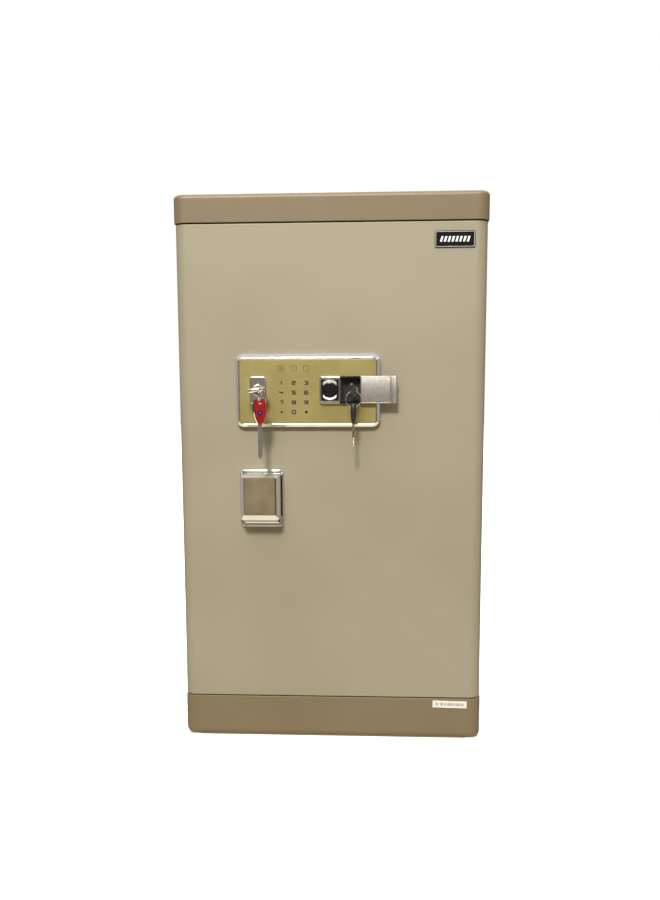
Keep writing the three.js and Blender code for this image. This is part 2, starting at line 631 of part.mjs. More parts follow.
function addSolenoid() {
  const y = (carriageY[0] + carriageY[1]) / 2
  const z = [handle.z + SOLENOID.up, handle.z + SOLENOID.up + SOLENOID.h]
  const bodyX = [plungerX - SOLENOID.half, plungerX + SOLENOID.half]
  const body = block(bodyX, [plateBack + GAP, y + SOLENOID.front], z)
  const bore = bar('z', [plungerX, y], PLUNGER_R + GAP, [z[0] - OVER, z[1] - SOLENOID.blind])
  piece('solenoid_body', cut(body, bore), zincSteel)
  const plunger = bar('z', [plungerX, y], PLUNGER_R, [tabTop + 1, z[1] - SOLENOID.reach], 16)
  piece('solenoid_plunger', plunger, chrome)
}

function addHandle() {
  const plateY = [front - GAP - HANDLE_PLATE.t, front - GAP]
  const plate = facing(centred(handle.x, handle.z, HANDLE_PLATE), plateY, { bevel: HANDLE_PLATE_BEVEL })
  const plateBore = handleBore(SPINDLE_R + SLIDE_CLEAR, [plateY[0] - OVER, plateY[1] + OVER])
  piece('handle_escutcheon', cut(plate, plateBore), chrome)

  const knobY = [plateY[0] - GAP - KNOB.t, plateY[0] - GAP]
  const knobOutline = centred(handle.x, handle.z + KNOB.rise, KNOB)
  const knob = facing(knobOutline, knobY, { bevel: KNOB.bevel, steps: 2 })
  const faceZ = handle.z + KNOB_FACE.rise
  const pocketY = [knobY[0] - OVER, knobY[0] + KNOB_FACE.t]
  const pocket = facing(centred(handle.x, faceZ, KNOB_FACE), pocketY)
  const socket = handleBore(SPINDLE_R + GAP, [knobY[1] - KNOB.socket, knobY[1] + OVER])
  piece('handle_knob', cut(knob, pocket, socket), chrome)

  const inset = { ...KNOB_FACE, w: KNOB_FACE.w - 2 * GAP, h: KNOB_FACE.h - 2 * GAP }
  const faceY = [knobY[0] - KNOB_FACE.proud, knobY[0] + KNOB_FACE.t - GAP]
  piece('handle_face_plate', facing(centred(handle.x, faceZ, inset), faceY), taupeFace)
  addSpindle(knobY[1] - KNOB.socket + GAP)
}

function addSpindle(frontEnd) {
  const armY = [plateBack + CRANK_OFF, plateBack + CRANK_OFF + CRANK_T]
  const arm = new THREE.Shape()
  const lean = -Math.PI / 4
  const hub = SPINDLE_R + HUB_T
  arm.absarc(0, 0, hub, Math.PI / 2, -Math.PI / 2 + 2 * Math.PI)
  arm.absarc(CRANK_R, 0, CRANK_PIN_R + PIN_BOSS, -Math.PI / 2, Math.PI / 2)
  const armOptions = { depth: CRANK_T, bevelEnabled: false, curveSegments: 10 }
  const armSolid = solidFrom(new THREE.ExtrudeGeometry(arm, armOptions)
    .rotateZ(lean).rotateX(Math.PI / 2).translate(handle.x, armY[1], handle.z))
  const spindle = handleBore(SPINDLE_R, [frontEnd, armY[1] - SLIDE_CLEAR])
  const pin = [handle.x + CRANK_R * Math.SQRT1_2, handle.z - CRANK_R * Math.SQRT1_2]
  const crankPin = bar('y', pin, CRANK_PIN_R, [armY[1] - OVER, carriageY[1] + OVER], 16)
  piece('handle_spindle', join(spindle, armSolid, crankPin), zincSteel)
}

// ---------------------------------------------------------------- control panel

function addPanel() {
  const outline = roundedRect(panelX, panelZ, PANEL.r)
  const body = facing(outline, [panelFront, front - GAP], { bevel: PANEL.bevel })
  const bedX = [panelX[0] + PANEL_RIM, panelX[1] - PANEL_RIM]
  const bedZ = [panelZ[0] + PANEL_RIM, panelZ[1] - PANEL_RIM]
  const bed = roundedRect(bedX, bedZ, BED_R)
  const openX = [bedX[0] + BED_LEDGE, bedX[1] - BED_LEDGE]
  const openZ = [bedZ[0] + BED_LEDGE, bedZ[1] - BED_LEDGE]
  const floorY = fasciaFront + FASCIA_T
  const pocket = facing(bed, [panelFront - OVER, floorY + GAP])
  const hollow = block(openX, [floorY, front], openZ)
  const trayY = [panelFront - OVER, moduleBack + MODULE.t]
  const trayRoom = block([wellX[0] - BED_LEDGE, panelX[1] + OVER], trayY, moduleZ)
  piece('panel_frame', cut(body, pocket, hollow, trayRoom), chrome)

  const fitX = [bedX[0] + GAP, bedX[1] - GAP]
  const fitZ = [bedZ[0] + GAP, bedZ[1] - GAP]
  const sheet = facing(roundedRect(fitX, fitZ, BED_R - GAP), [fasciaFront, floorY])
  const throughY = [panelFront - OVER, front]
  const wellHole = block([wellX[0] - 1, wellX[1] + 1], throughY, [wellZ[0] - 1, wellZ[1] + 1])
  const sensorHole = bar('y', readerCentre(), EYE.boss + 2 * EYE.clear, throughY)
  const bores = [mainBore(MAIN_BARREL_R + GAP, throughY), wellHole, sensorHole]
  piece('panel_fascia', cut(sheet, ...bores), goldFace)
}

function readerCentre() {
  return [moduleX[0] + 1 + READER_W / 2, mainLock.z]
}

// The module's tray carries the reader at its left and grooved rails for the sliding cover.
function addModule() {
  const y = [railFront, moduleBack]
  const outline = roundedRect(moduleX, moduleZ, [MODULE.r, 0, 0, MODULE.r])
  const body = facing(outline, y)
  const innerZ = [moduleZ[0] + RAIL_H, moduleZ[1] - RAIL_H]
  const openX = [wellX[0], panelX[1] + OVER]
  const trough = block(openX, [y[0] - OVER, y[1] + OVER], innerZ)
  const grooveZ = [innerZ[0] - RAIL_GROOVE, innerZ[1] + RAIL_GROOVE]
  const groove = block(openX, [y[1] - GROOVE.front, y[1] - GROOVE.back], grooveZ)
  const [rx, rz] = readerCentre()
  const bezelSize = { w: READER_W - BEZEL.side, h: MODULE.h - BEZEL.end, r: BEZEL.r }
  const bezelRoom = facing(centred(rx, rz, bezelSize), [y[0] - OVER, y[0] + BEZEL.deep])
  const sensorRoom = bar('y', [rx, rz], EYE.boss + EYE.clear, [y[0], y[1] + OVER])
  piece('module_tray', cut(body, trough, groove, bezelRoom, sensorRoom), chrome)

  const fit = { w: bezelSize.w - 2 * GAP, h: bezelSize.h - 2 * GAP, r: BEZEL.r - GAP }
  const readerBack = y[0] + BEZEL.sunk + BEZEL.t
  const bezel = facing(centred(rx, rz, fit), [y[0] + BEZEL.sunk, readerBack])
  const eyeRoom = bar('y', [rx, rz], EYE.r + EYE.clear, [y[0] - OVER, y[1]], 32)
  piece('reader_bezel', cut(bezel, eyeRoom), glossBlack)
  const eye = bar('y', [rx, rz], EYE.r, [y[0] + EYE.proud, readerBack], 32)
  const boss = bar('y', [rx, rz], EYE.boss, [y[0] + 1, y[1] + 4])
  piece('reader_sensor', eye.add(boss), glossBlack)

  const wellWall = 1
  const fitX = [wellX[0] + GAP, wellX[1] - GAP]
  const well = block(fitX, [y[1] - 1, wellFloor], wellZ)
  const hollowX = [fitX[0] + wellWall, fitX[1] - wellWall]
  const hollowZ = [wellZ[0] + wellWall, wellZ[1] - wellWall]
  const hollow = block(hollowX, [y[1] - 1 - OVER, wellFloor - wellWall], hollowZ)
  piece('key_recess', cut(well, hollow, spareBore(SPARE_BARREL_R + GAP, [y[0], front])), blackPlastic)
  addCover(y[1], grooveZ, innerZ)
}

function addCover(trayBack, grooveZ, innerZ) {
  const slideX = [coverX[0], coverX[1] - COVER.tail]
  const tongueY = [trayBack - GROOVE.front + GROOVE.slack, trayBack - GROOVE.back - GROOVE.slack]
  const tongue = block(slideX, tongueY, [grooveZ[0] + GAP, grooveZ[1] - GAP])
  const neckY = [railFront - GAP - GROOVE.slack, trayBack - 2]
  const neck = block(slideX, neckY, [innerZ[0] + GAP, innerZ[1] - GAP])
  const capY = [railFront - GAP - COVER.t, railFront - GAP]
  const cap = facing(roundedRect(coverX, moduleZ, COVER.r), capY, { bevel: COVER.bevel })
  piece('key_cover', join(tongue, neck, cap), chrome)
}

function addNameBadge() {
  const x = doorX - BADGE.right - BADGE.w / 2
  const z = doorZ[1] - BADGE.down
  const y = [front - GAP - BADGE.t, front - GAP]
  piece('name_badge', facing(centred(x, z, BADGE), y, { bevel: BADGE.bevel }), glossBlack)
}

// ---------------------------------------------------------------- locks and keys

// Each key is drawn about its lock's axis, with the plug's front face at y = 0.
function holderAt(x, y, z, turn = 0, parent = group) {
  const holder = new THREE.Group()
  holder.position.set(x, y, z)
  holder.rotation.y = turn
  parent.add(holder)
  return holder
}

function ring(radius, plane, y, z) {
  const geometry = new THREE.TorusGeometry(radius, WIRE_R, 6, 24)
  if (plane === 'yz') geometry.rotateY(Math.PI / 2)
  if (plane === 'xz') geometry.rotateX(Math.PI / 2)
  return solidFrom(geometry.translate(0, y, z))
}

function addMainLock() {
  const plateY = [fasciaFront - GAP - MAIN_PLATE.t, fasciaFront - GAP]
  const plate = facing(centred(mainLock.x, mainLock.z, MAIN_PLATE), plateY, { bevel: MAIN_PLATE.bevel })
  const plateBore = mainBore(MAIN_BARREL_R + GAP, [plateY[0] - OVER, plateY[1] + OVER])
  piece('main_lock_escutcheon', cut(plate, plateBore), chrome)
  const barrelY = [plateY[0] + 0.4, plateBack + 2]
  const bore = mainBore(MAIN_PLUG_R + RUN, [barrelY[0] - OVER, barrelY[1] + OVER])
  piece('main_lock_barrel', cut(mainBore(MAIN_BARREL_R, barrelY), bore), zincSteel)

  const holder = holderAt(mainLock.x, barrelY[0], mainLock.z, MAIN_REST)
  const key = MAIN_KEY
  const depth = barrelY[1] - barrelY[0]
  const camY = [depth + SLIDE_CLEAR, depth + SLIDE_CLEAR + CAM.t]
  const body = bar('y', [0, 0], MAIN_PLUG_R, [0, camY[1]])
  const cam = block([-CAM.half, CAM.half], camY, [0, CAM.h])
  const wayX = key.bladeW / 2 + GAP
  const wayZ = key.bladeT / 2 + GAP
  const keyway = block([-wayX, wayX], [-OVER, key.bladeL + 2], [-wayZ, wayZ])
  piece('main_lock_plug', cut(body.add(cam), keyway), brass, holder)

  const half = BOW.t / 2
  const bowY = [-key.neckL - BOW.l, -key.neckL]
  const bow = upright(roundedRect([-BOW.w / 2, BOW.w / 2], bowY, BOW.r), [-half, half])
  const neck = block([-key.neckW / 2, key.neckW / 2], [-key.neckL - ROOTED, -GAP], [-half, half])
  const bladeZ = [-key.bladeT / 2, key.bladeT / 2]
  const blade = block([-key.bladeW / 2, key.bladeW / 2], [-GAP - OVER, key.bladeL], bladeZ)
  const slotX = [BOW.slotX - BOW.slotHalf, BOW.slotX + BOW.slotHalf]
  const slotY = [bowY[0] + BOW.slotFrom, bowY[0] + BOW.slotTo]
  const slot = upright(roundedRect(slotX, slotY, BOW.slotR), [-half - OVER, half + OVER])
  piece('main_key', cut(join(bow, neck, blade), slot), chrome, holder)
  addMainSpare(barrelY[0], bowY[0], half)
}

// The ring hangs in the bow's slot, which stands to one side, so it takes the key's turn with it.
function addMainSpare(lockFront, bowFront, half) {
  const x = mainLock.x + BOW.slotX * Math.cos(MAIN_REST)
  const rise = -BOW.slotX * Math.sin(MAIN_REST)
  const hang = holderAt(x, lockFront, mainLock.z + rise)
  const top = { y: bowFront + BOW.slotFrom / 2, z: half + WIRE_R + WIRE_CLEAR }
  piece('main_key_ring', ring(MAIN_RING_R, 'yz', top.y, top.z - MAIN_RING_R), zincSteel, hang)

  const head = MAIN_HEAD
  const wireZ = top.z - 2 * MAIN_RING_R
  const holeZ = wireZ - head.hole + WIRE_R + 2 * GAP
  const headZ = [holeZ + head.holeDown - head.h, holeZ + head.holeDown]
  const outline = roundedRect([-head.w / 2, head.w / 2], headZ, head.w / 2 - 0.2)
  const headY = [top.y - head.t / 2, top.y + head.t / 2]
  const bladeY = [top.y - head.bladeT / 2, top.y + head.bladeT / 2]
  const bladeZ = [headZ[0] - head.bladeL, headZ[0] + 2 * ROOTED]
  const spareBlade = block([-head.bladeW / 2, head.bladeW / 2], bladeY, bladeZ)
  const hole = bar('y', [0, holeZ], head.hole, [headY[0] - OVER, headY[1] + OVER])
  piece('main_spare_key', cut(facing(outline, headY).add(spareBlade), hole), redPlastic, hang)
}

function addEmergencyLock() {
  const noseY = wellFloor - 4
  const barrelY = [noseY, doorBack - 6]
  const bore = spareBore(SPARE_PLUG_R + RUN, [barrelY[0] - OVER, barrelY[1] + OVER])
  piece('emergency_lock_barrel', cut(spareBore(SPARE_BARREL_R, barrelY), bore), zincSteel)

  const holder = holderAt(spareLock.x, noseY, spareLock.z, SPARE_REST)
  const key = SPARE_KEY
  const depth = barrelY[1] - barrelY[0]
  const body = bar('y', [0, 0], SPARE_PLUG_R, [0, depth + 2])
  const keyhole = bar('y', [0, 0], key.shaftR + GAP, [-OVER, key.shaftL + 2], 16)
  piece('emergency_lock_plug', cut(body, keyhole), brass, holder)

  const headY = [-key.neckL - key.headL, -key.neckL]
  const outline = roundedRect([-key.headT / 2, key.headT / 2], headY, key.r)
  const head = upright(outline, [-key.headH / 2, key.headH / 2], 3)
  const shaft = bar('y', [0, 0], key.shaftR, [-key.neckL - ROOTED, key.shaftL], 16)
  const holeY = headY[0] + key.holeIn
  const hole = bar('x', [holeY, 0], key.hole, [-key.headT, key.headT])
  piece('emergency_key', cut(head.add(shaft), hole), blackPlastic, holder)

  const hang = holderAt(spareLock.x, noseY, spareLock.z)
  piece('emergency_key_ring', ring(SPARE_RING_R, 'xz', holeY, -SPARE_RING_R), zincSteel, hang)

  const spare = SPARE_HEAD
  const wireRise = SPARE_RING_R - Math.sqrt(SPARE_RING_R ** 2 - (key.headT / 2) ** 2)
  const holeZ = -2 * SPARE_RING_R - key.hole + WIRE_R + wireRise + GAP
  const headZ = [holeZ + spare.holeDown - spare.h, holeZ + spare.holeDown]
  const spareY = [holeY - spare.w / 2, holeY + spare.w / 2]
  const spareOutline = roundedRect([-key.headT / 2, key.headT / 2], spareY, key.r)
  const spareHead = upright(spareOutline, headZ, 3)
  const shaftZ = [headZ[0] - spare.shaftL, headZ[0] + ROOTED]
  const spareShaft = bar('z', [0, holeY], spare.shaftR, shaftZ, 16)
  const spareHole = bar('x', [holeY, holeZ], key.hole, [-key.headT, key.headT])
  piece('emergency_spare_key', cut(spareHead.add(spareShaft), spareHole), blackPlastic, hang)
}

addPlinth()
addCap()
addShell()
addFrontFrame()
addLiner()
addWallFill()
addSeal()
addShelf()
addMat()
addPivotPins()
addSerialLabel()
addDoorPan()
addPivotBushes()
addInnerCover()
addElectrics()
addBoltwork()
addSolenoid()
addHandle()
addPanel()
addModule()
addNameBadge()
addMainLock()
addEmergencyLock()

export default group
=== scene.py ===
"""An upright fire-resistant home safe: steel cabinet, hinged door, keypad, fingerprint reader,
two key locks with hanging keys and a turn handle. Metres, +Z up, the door faces -Y."""

import json
import math

import bmesh
import bpy
from mathutils import Euler, Matrix, Vector


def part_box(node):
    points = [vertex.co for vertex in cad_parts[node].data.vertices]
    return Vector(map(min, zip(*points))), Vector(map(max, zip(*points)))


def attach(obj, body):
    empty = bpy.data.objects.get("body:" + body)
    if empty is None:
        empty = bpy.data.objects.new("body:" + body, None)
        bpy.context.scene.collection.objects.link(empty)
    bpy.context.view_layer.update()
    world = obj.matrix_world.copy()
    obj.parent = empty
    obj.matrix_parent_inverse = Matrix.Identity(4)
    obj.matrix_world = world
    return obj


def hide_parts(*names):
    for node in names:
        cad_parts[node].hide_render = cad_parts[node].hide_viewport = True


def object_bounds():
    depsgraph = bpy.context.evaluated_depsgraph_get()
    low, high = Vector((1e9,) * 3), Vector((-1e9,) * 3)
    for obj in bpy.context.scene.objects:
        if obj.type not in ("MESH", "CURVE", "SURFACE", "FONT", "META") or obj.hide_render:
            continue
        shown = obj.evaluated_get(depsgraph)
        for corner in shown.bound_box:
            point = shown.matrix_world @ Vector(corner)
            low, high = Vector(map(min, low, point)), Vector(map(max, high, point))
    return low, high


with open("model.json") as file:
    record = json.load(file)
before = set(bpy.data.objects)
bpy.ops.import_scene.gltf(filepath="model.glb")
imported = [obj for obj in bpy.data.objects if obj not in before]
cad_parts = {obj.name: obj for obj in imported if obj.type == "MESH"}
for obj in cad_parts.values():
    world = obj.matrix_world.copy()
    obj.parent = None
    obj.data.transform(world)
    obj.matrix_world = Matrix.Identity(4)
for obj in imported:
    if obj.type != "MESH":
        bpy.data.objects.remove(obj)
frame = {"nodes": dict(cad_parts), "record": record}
cad_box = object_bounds()

mm = 0.001

# ---------------------------------------------------------------- camera, floor and light
# The safe stands on a plain white studio floor. A far lamp lights its front evenly, from high
# up and a little to the left. Weaker ones fill the upper left, the right, the top and the back.

scene = bpy.context.scene
scene.view_settings.view_transform = "Standard"
front_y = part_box("door_outer_panel")[0].y


class Wire:
    """A socket in a node tree. Sums, differences and products of it add Math nodes."""

    def __init__(self, tree, socket=None):
        self.tree = tree
        self.socket = socket

    def node(self, kind, settings=None, sockets=None, output=0):
        """Adds a node: its settings first, then the values or links of its sockets."""
        node = self.tree.nodes.new(kind)
        for name, value in (settings or {}).items():
            setattr(node, name, value)
        for name, value in (sockets or {}).items():
            if isinstance(value, Wire):
                self.tree.links.new(value.socket, node.inputs[name])
            else:
                node.inputs[name].default_value = value
        return Wire(self.tree, node.outputs[output] if node.outputs else None)

    def other(self, name):
        """Another output of the node that this socket is on."""
        return Wire(self.tree, self.socket.node.outputs[name])

    def math(self, operation, *values):
        return self.node("ShaderNodeMath", {"operation": operation}, dict(enumerate(values)))

    def __add__(self, other):
        return self.math("ADD", self, other)

    def __sub__(self, other):
        return self.math("SUBTRACT", self, other)

    def __rsub__(self, other):
        return self.math("SUBTRACT", other, self)

    def __mul__(self, other):
        return self.math("MULTIPLY", self, other)

    def __abs__(self):
        return self.math("ABSOLUTE", self)

    __radd__ = __add__
    __rmul__ = __mul__

    def smooth(self, low, high):
        """0 below low, 1 above high, and eased between."""
        settings = {"interpolation_type": "SMOOTHSTEP"}
        sockets = {"Value": self, "From Min": low, "From Max": high}
        return self.node("ShaderNodeMapRange", settings, sockets)

    def mix(self, first, second):
        """The first colour where this mask is 0 and the second where it is 1."""
        sockets = {0: self, 6: first, 7: second}
        return self.node("ShaderNodeMix", {"data_type": "RGBA"}, sockets, 2)


def rgb(red, green, blue):
    """A colour given as it shows on a screen, 0 to 255, in linear light."""
    parts = [c / 255 for c in (red, green, blue)]
    linear = [c / 12.92 if c <= 0.04045 else ((c + 0.055) / 1.055) ** 2.4 for c in parts]
    return (*linear, 1.0)


def build_camera():
    eye = Vector((0.0919, front_y - 1.5076, 0.5223))
    yaw, pitch, roll = -0.0618, 0.1536, -0.0035
    aim = Euler((math.pi / 2 - pitch, 0, -yaw)).to_matrix() @ Matrix.Rotation(roll, 3, "Z")
    data = bpy.data.cameras.new("camera")
    data.lens = 41.08
    data.shift_y = 0.111
    camera = bpy.data.objects.new("camera", data)
    camera.matrix_world = Matrix.Translation(eye) @ aim.to_4x4()
    scene.collection.objects.link(camera)
    scene.camera = camera


def build_lamp(name, place, target, size, power, colour):
    data = bpy.data.lights.new(name, "AREA")
    data.shape = "RECTANGLE"
    data.size, data.size_y = size
    data.energy = power
    data.color = colour
    lamp = bpy.data.objects.new(name, data)
    lamp.location = place
    lamp.rotation_euler = (Vector(target) - Vector(place)).to_track_quat("-Z", "Y").to_euler()
    scene.collection.objects.link(lamp)


def build_far_lamp(name, comes_from, strength, spread, colour, mirrored):
    """A lamp so far away that it falls evenly, spread over that many degrees."""
    data = bpy.data.lights.new(name, "SUN")
    data.energy = strength
    data.angle = math.radians(spread)
    data.color = colour
    lamp = bpy.data.objects.new(name, data)
    lamp.rotation_euler = Vector(comes_from).to_track_quat("Z", "Y").to_euler()
    lamp.visible_glossy = mirrored
    scene.collection.objects.link(lamp)


def build_floor():
    reach = 14.0
    corners = [(-reach, -reach), (reach, -reach), (reach, reach), (-reach, reach)]
    mesh = bpy.data.meshes.new("studio_floor")
    mesh.from_pydata([(x, y, cad_box[0].z - 0.0004) for x, y in corners], [], [(0, 1, 2, 3)])
    floor = bpy.data.objects.new("studio_floor", mesh)
    floor.visible_glossy = False
    floor.visible_diffuse = False
    scene.collection.objects.link(floor)
    material = bpy.data.materials.new("studio_paper")
    material.use_nodes = True
    material.node_tree.nodes.clear()
    start = Wire(material.node_tree)
    place = start.node("ShaderNodeTexCoord", output="Object")
    grain = start.node("ShaderNodeTexNoise", {}, {"Vector": place, "Scale": 300.0})
    tint = grain.mix((0.93, 0.925, 0.91, 1), (0.96, 0.955, 0.945, 1))
    shader = start.node("ShaderNodeBsdfPrincipled", {}, {"Base Color": tint, "Roughness": 0.9})
    start.node("ShaderNodeOutputMaterial", {}, {"Surface": shader})
    mesh.materials.append(material)


def build_studio():
    """White all round the object, with a bright ceiling and a dim room for metal to mirror."""
    world = bpy.data.worlds.new("studio")
    scene.world = world
    world.use_nodes = True
    world.node_tree.nodes.clear()
    start = Wire(world.node_tree)
    toward = start.node("ShaderNodeTexCoord", output="Generated")
    split = start.node("ShaderNodeSeparateXYZ", {}, {"Vector": toward})
    walls = abs(split).smooth(0.88, 0.95).mix(rgb(44, 39, 33), rgb(214, 208, 196))
    room = abs(split).smooth(0.26, 0.58).mix(rgb(168, 161, 152), walls)
    height = split.other("Z")
    lower = height.smooth(-0.62, -0.28).mix((1.65, 1.48, 1.08, 1), room)
    whole = height.smooth(0.22, 0.55).mix(lower, (1.15, 1.15, 1.17, 1))
    mirrored = start.node("ShaderNodeBackground", {}, {"Color": whole, "Strength": 0.62})
    white = start.node("ShaderNodeBackground", {}, {"Color": (1, 1, 1, 1), "Strength": 1.0})
    seen = start.node("ShaderNodeLightPath", output="Is Camera Ray")
    both = start.node("ShaderNodeMixShader", {}, {0: seen, 1: mirrored, 2: white})
    start.node("ShaderNodeOutputWorld", {}, {"Surface": both})


build_camera()
build_floor()
build_studio()
middle = (0.0, front_y, 0.45)
build_far_lamp("key_lamp", (-0.10, -1.0, 0.85), 2.85, 9, (1.0, 0.985, 0.95), True)
build_lamp("window_lamp", (-0.55, front_y - 1.9, 2.15), middle, (1.1, 0.7), 22, (0.93, 0.97, 1.0))
build_lamp("fill_lamp", (1.9, front_y - 1.4, 1.2), middle, (1.2, 1.6), 3, (1.0, 0.99, 0.97))
build_far_lamp("overhead", (0, 0, 1), 2.9, 50, (1.0, 1.0, 1.0), False)
build_lamp("back_lamp", (-0.9, 2.3, 1.7), (0, 0, 0.4), (1.6, 1.2), 34, (1.0, 1.0, 1.0))

# ---------------------------------------------------------------- base
# The base is a tray pressed from 3 mm steel sheet, open underneath, with rounded bends and
# foot edges, in a dark beige powder coat. A plate and a block of cast cement close it from below.

home_of = {node: body for body, own in frame["record"]["behaviour"]["bodies"].items() for node in own}


def eased(corners, steps=6):
    """An open line through the corners (u, v, radius), with each one rounded by its radius."""
    line = []
    for index, (u, v, radius) in enumerate(corners):
        here = Vector((u, v))
        if radius == 0 or index in (0, len(corners) - 1):
            line.append((u, v))
            continue
        before = (Vector(corners[index - 1][:2]) - here).normalized()
        after = (Vector(corners[index + 1][:2]) - here).normalized()
        half = math.acos(max(-1, min(1, before.dot(after)))) / 2
        reach = radius / math.tan(half)
        centre = here + (before + after).normalized() * radius / math.sin(half)
        first, last = here + before * reach - centre, here + after * reach - centre
        turn = first.angle_signed(last)
        count = max(2, round(abs(turn) / (math.pi / 2) * steps))
        line.append(tuple(here + before * reach * 1.12))
        for step in range(count + 1):
            line.append(tuple(centre + Matrix.Rotation(-turn * step / count, 2) @ first))
        line.append(tuple(here + after * reach * 1.12))
    return line


def rounded(spans, radii, steps=8):
    """The points of a rounded rectangle from its lower left corner round. A short straight
    piece is kept at both ends of each arc, so that the flat sides shade flat."""
    (left, right), (low, high) = spans
    radii = radii if isinstance(radii, tuple) else (radii,) * 4
    corners = [(left, low, 1, 1), (right, low, -1, 1), (right, high, -1, -1), (left, high, 1, -1)]
    points = []
    for index, (u, v, into_u, into_v) in enumerate(corners):
        radius = max(radii[index], 0.02 * mm)
        hold = 0.06 * radius + 0.01 * mm
        centre = Vector((u + into_u * radius, v + into_v * radius))
        angles = [math.pi * (1 + index / 2 + step / steps / 2) for step in range(steps + 1)]
        arc = [centre + radius * Vector((math.cos(a), math.sin(a))) for a in angles]
        arc.insert(0, arc[0] + hold * Vector((math.sin(angles[0]), -math.cos(angles[0]))))
        arc.append(arc[-1] + hold * Vector((-math.sin(angles[-1]), math.cos(angles[-1]))))
        points.extend(arc)
    return points


def standing(u, v, depth):
    """An outline drawn in plan, carried upwards."""
    return (u, v, depth)


def facing(u, v, depth):
    """An outline drawn from the front, carried back."""
    return (u, depth, v)


def sideways(u, v, depth):
    """An outline drawn from the side, carried across."""
    return (depth, u, v)


def shade(piece, sharp=32):
    """Merges doubles, turns the faces outwards and shades smooth up to that edge angle."""
    work = bmesh.new()
    work.from_mesh(piece.data)
    bmesh.ops.remove_doubles(work, verts=work.verts, dist=0.002 * mm)
    bmesh.ops.dissolve_degenerate(work, edges=work.edges, dist=0.001 * mm)
    bmesh.ops.recalc_face_normals(work, faces=work.faces)
    work.to_mesh(piece.data)
    work.free()
    piece.data.shade_smooth()
    piece.data.set_sharp_from_angle(angle=math.radians(sharp))
    return piece


def skinned(name, loops, closed=False, sharp=32):
    """A skin over a row of loops with equally many points. A closed row is a ring, and an open
    one is capped at both ends."""
    count = len(loops[0])
    faces = []
    for row in range(len(loops) if closed else len(loops) - 1):
        one, two = row * count, (row + 1) % len(loops) * count
        for step in range(count):
            after = (step + 1) % count
            faces.append((one + step, one + after, two + after, two + step))
    if not closed:
        faces.append(tuple(reversed(range(count))))
        faces.append(tuple(range(len(loops) * count - count, len(loops) * count)))
    mesh = bpy.data.meshes.new(name)
    mesh.from_pydata([tuple(point) for loop in loops for point in loop], [], faces)
    piece = bpy.data.objects.new(name, mesh)
    scene.collection.objects.link(piece)
    return shade(piece, sharp)


def moulded(name, spans, radii, profile, place, closed=False, steps=8):
    """A rounded rectangle carried along a profile of (inset, depth). An inset is one number,
    or one each for the left, right, low and high sides."""
    (left, right), (low, high) = spans
    radii = radii if isinstance(radii, tuple) else (radii,) * 4
    loops = []
    for inset, depth in profile:
        sides = inset if isinstance(inset, tuple) else (inset,) * 4
        inner = ((left + sides[0], right - sides[1]), (low + sides[2], high - sides[3]))
        least = min(sides)
        outline = rounded(inner, tuple(radius - least for radius in radii), steps)
        loops.append([place(u, v, depth) for u, v in outline])
    return skinned(name, loops, closed)


def rod(name, centre, radius, span, place, steps=32):
    """A plain round bar, used to bore holes."""
    around = [2 * math.pi * step / steps for step in range(steps)]
    circle = [(centre[0] + radius * math.cos(a), centre[1] + radius * math.sin(a)) for a in around]
    return skinned(name, [[place(u, v, depth) for u, v in circle] for depth in span])


def kept(piece):
    """Turns a piece with its modifiers into a plain mesh."""
    depsgraph = bpy.context.evaluated_depsgraph_get()
    mesh = bpy.data.meshes.new_from_object(piece.evaluated_get(depsgraph))
    piece.modifiers.clear()
    piece.data = mesh
    return piece


def carved(piece, *cutters):
    """Cuts the cutters out of a piece, and removes them."""
    for cutter in cutters:
        modifier = piece.modifiers.new("cut", "BOOLEAN")
        modifier.operation = "DIFFERENCE"
        modifier.solver = "EXACT"
        modifier.use_self = True
        modifier.object = cutter
    kept(piece)
    for cutter in cutters:
        bpy.data.objects.remove(cutter)
    return shade(piece)


def settle(piece, finish, *nodes, body=None, slot=None):
    """Coats a piece, and lets it ride on its body in place of the solids it stands for."""
    piece.data.materials.clear()
    piece.data.materials.append(finish)
    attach(piece, body or home_of[nodes[0]])
    if nodes:
        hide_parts(*nodes)
    return piece


def coat(finish, *nodes):
    """Gives solids whose shape is right their finish."""
    for node in nodes:
        materials = frame["nodes"][node].data.materials
        materials.clear()
        materials.append(finish)


def open_finish(name):
    """A new material, as the wire that its nodes are added from, and where it is on the piece."""
    material = bpy.data.materials.new(name)
    material.use_nodes = True
    material.node_tree.nodes.clear()
    start = Wire(material.node_tree)
    return material, start, start.node("ShaderNodeTexCoord", output="Object")


def close_finish(start, sockets):
    shader = start.node("ShaderNodeBsdfPrincipled", {}, sockets)
    start.node("ShaderNodeOutputMaterial", {}, {"Surface": shader})


def cloudy(place, scale, detail=2.0, roughness=0.5):
    """Soft noise between 0 and 1, its scale in features to the metre."""
    sockets = {"Vector": place, "Scale": scale, "Detail": detail, "Roughness": roughness}
    return place.node("ShaderNodeTexNoise", {}, sockets)


def relief(height, depth, strength=1.0):
    return height.node("ShaderNodeBump", {}, {"Height": height, "Distance": depth, "Strength": strength})


def powder_coat(name, colour, lighter, gloss):
    """Fine textured powder coat: a pebbled skin with a slight speckle and faint clouding."""
    material, start, place = open_finish(name)
    pebbles = cloudy(place, 900.0, 3.0, 0.6)
    speckle = cloudy(place, 1700.0, 1.0).smooth(0.3, 0.7)
    cloud = cloudy(place, 5.0, 3.0).smooth(0.3, 0.7)
    tone = speckle * 0.45 + cloud * 0.35 + pebbles * 0.2
    sockets = {
        "Base Color": tone.mix(colour, lighter),
        "Roughness": pebbles * 0.14 + cloud * 0.05 + gloss,
        "Metallic": 0.15,
        "Normal": relief(pebbles, 0.22 * mm, 0.5),
    }
    close_finish(start, sockets)
    return material


trim_paint = powder_coat("trim_powder_coat", rgb(113, 98, 71), rgb(126, 111, 84), 0.40)


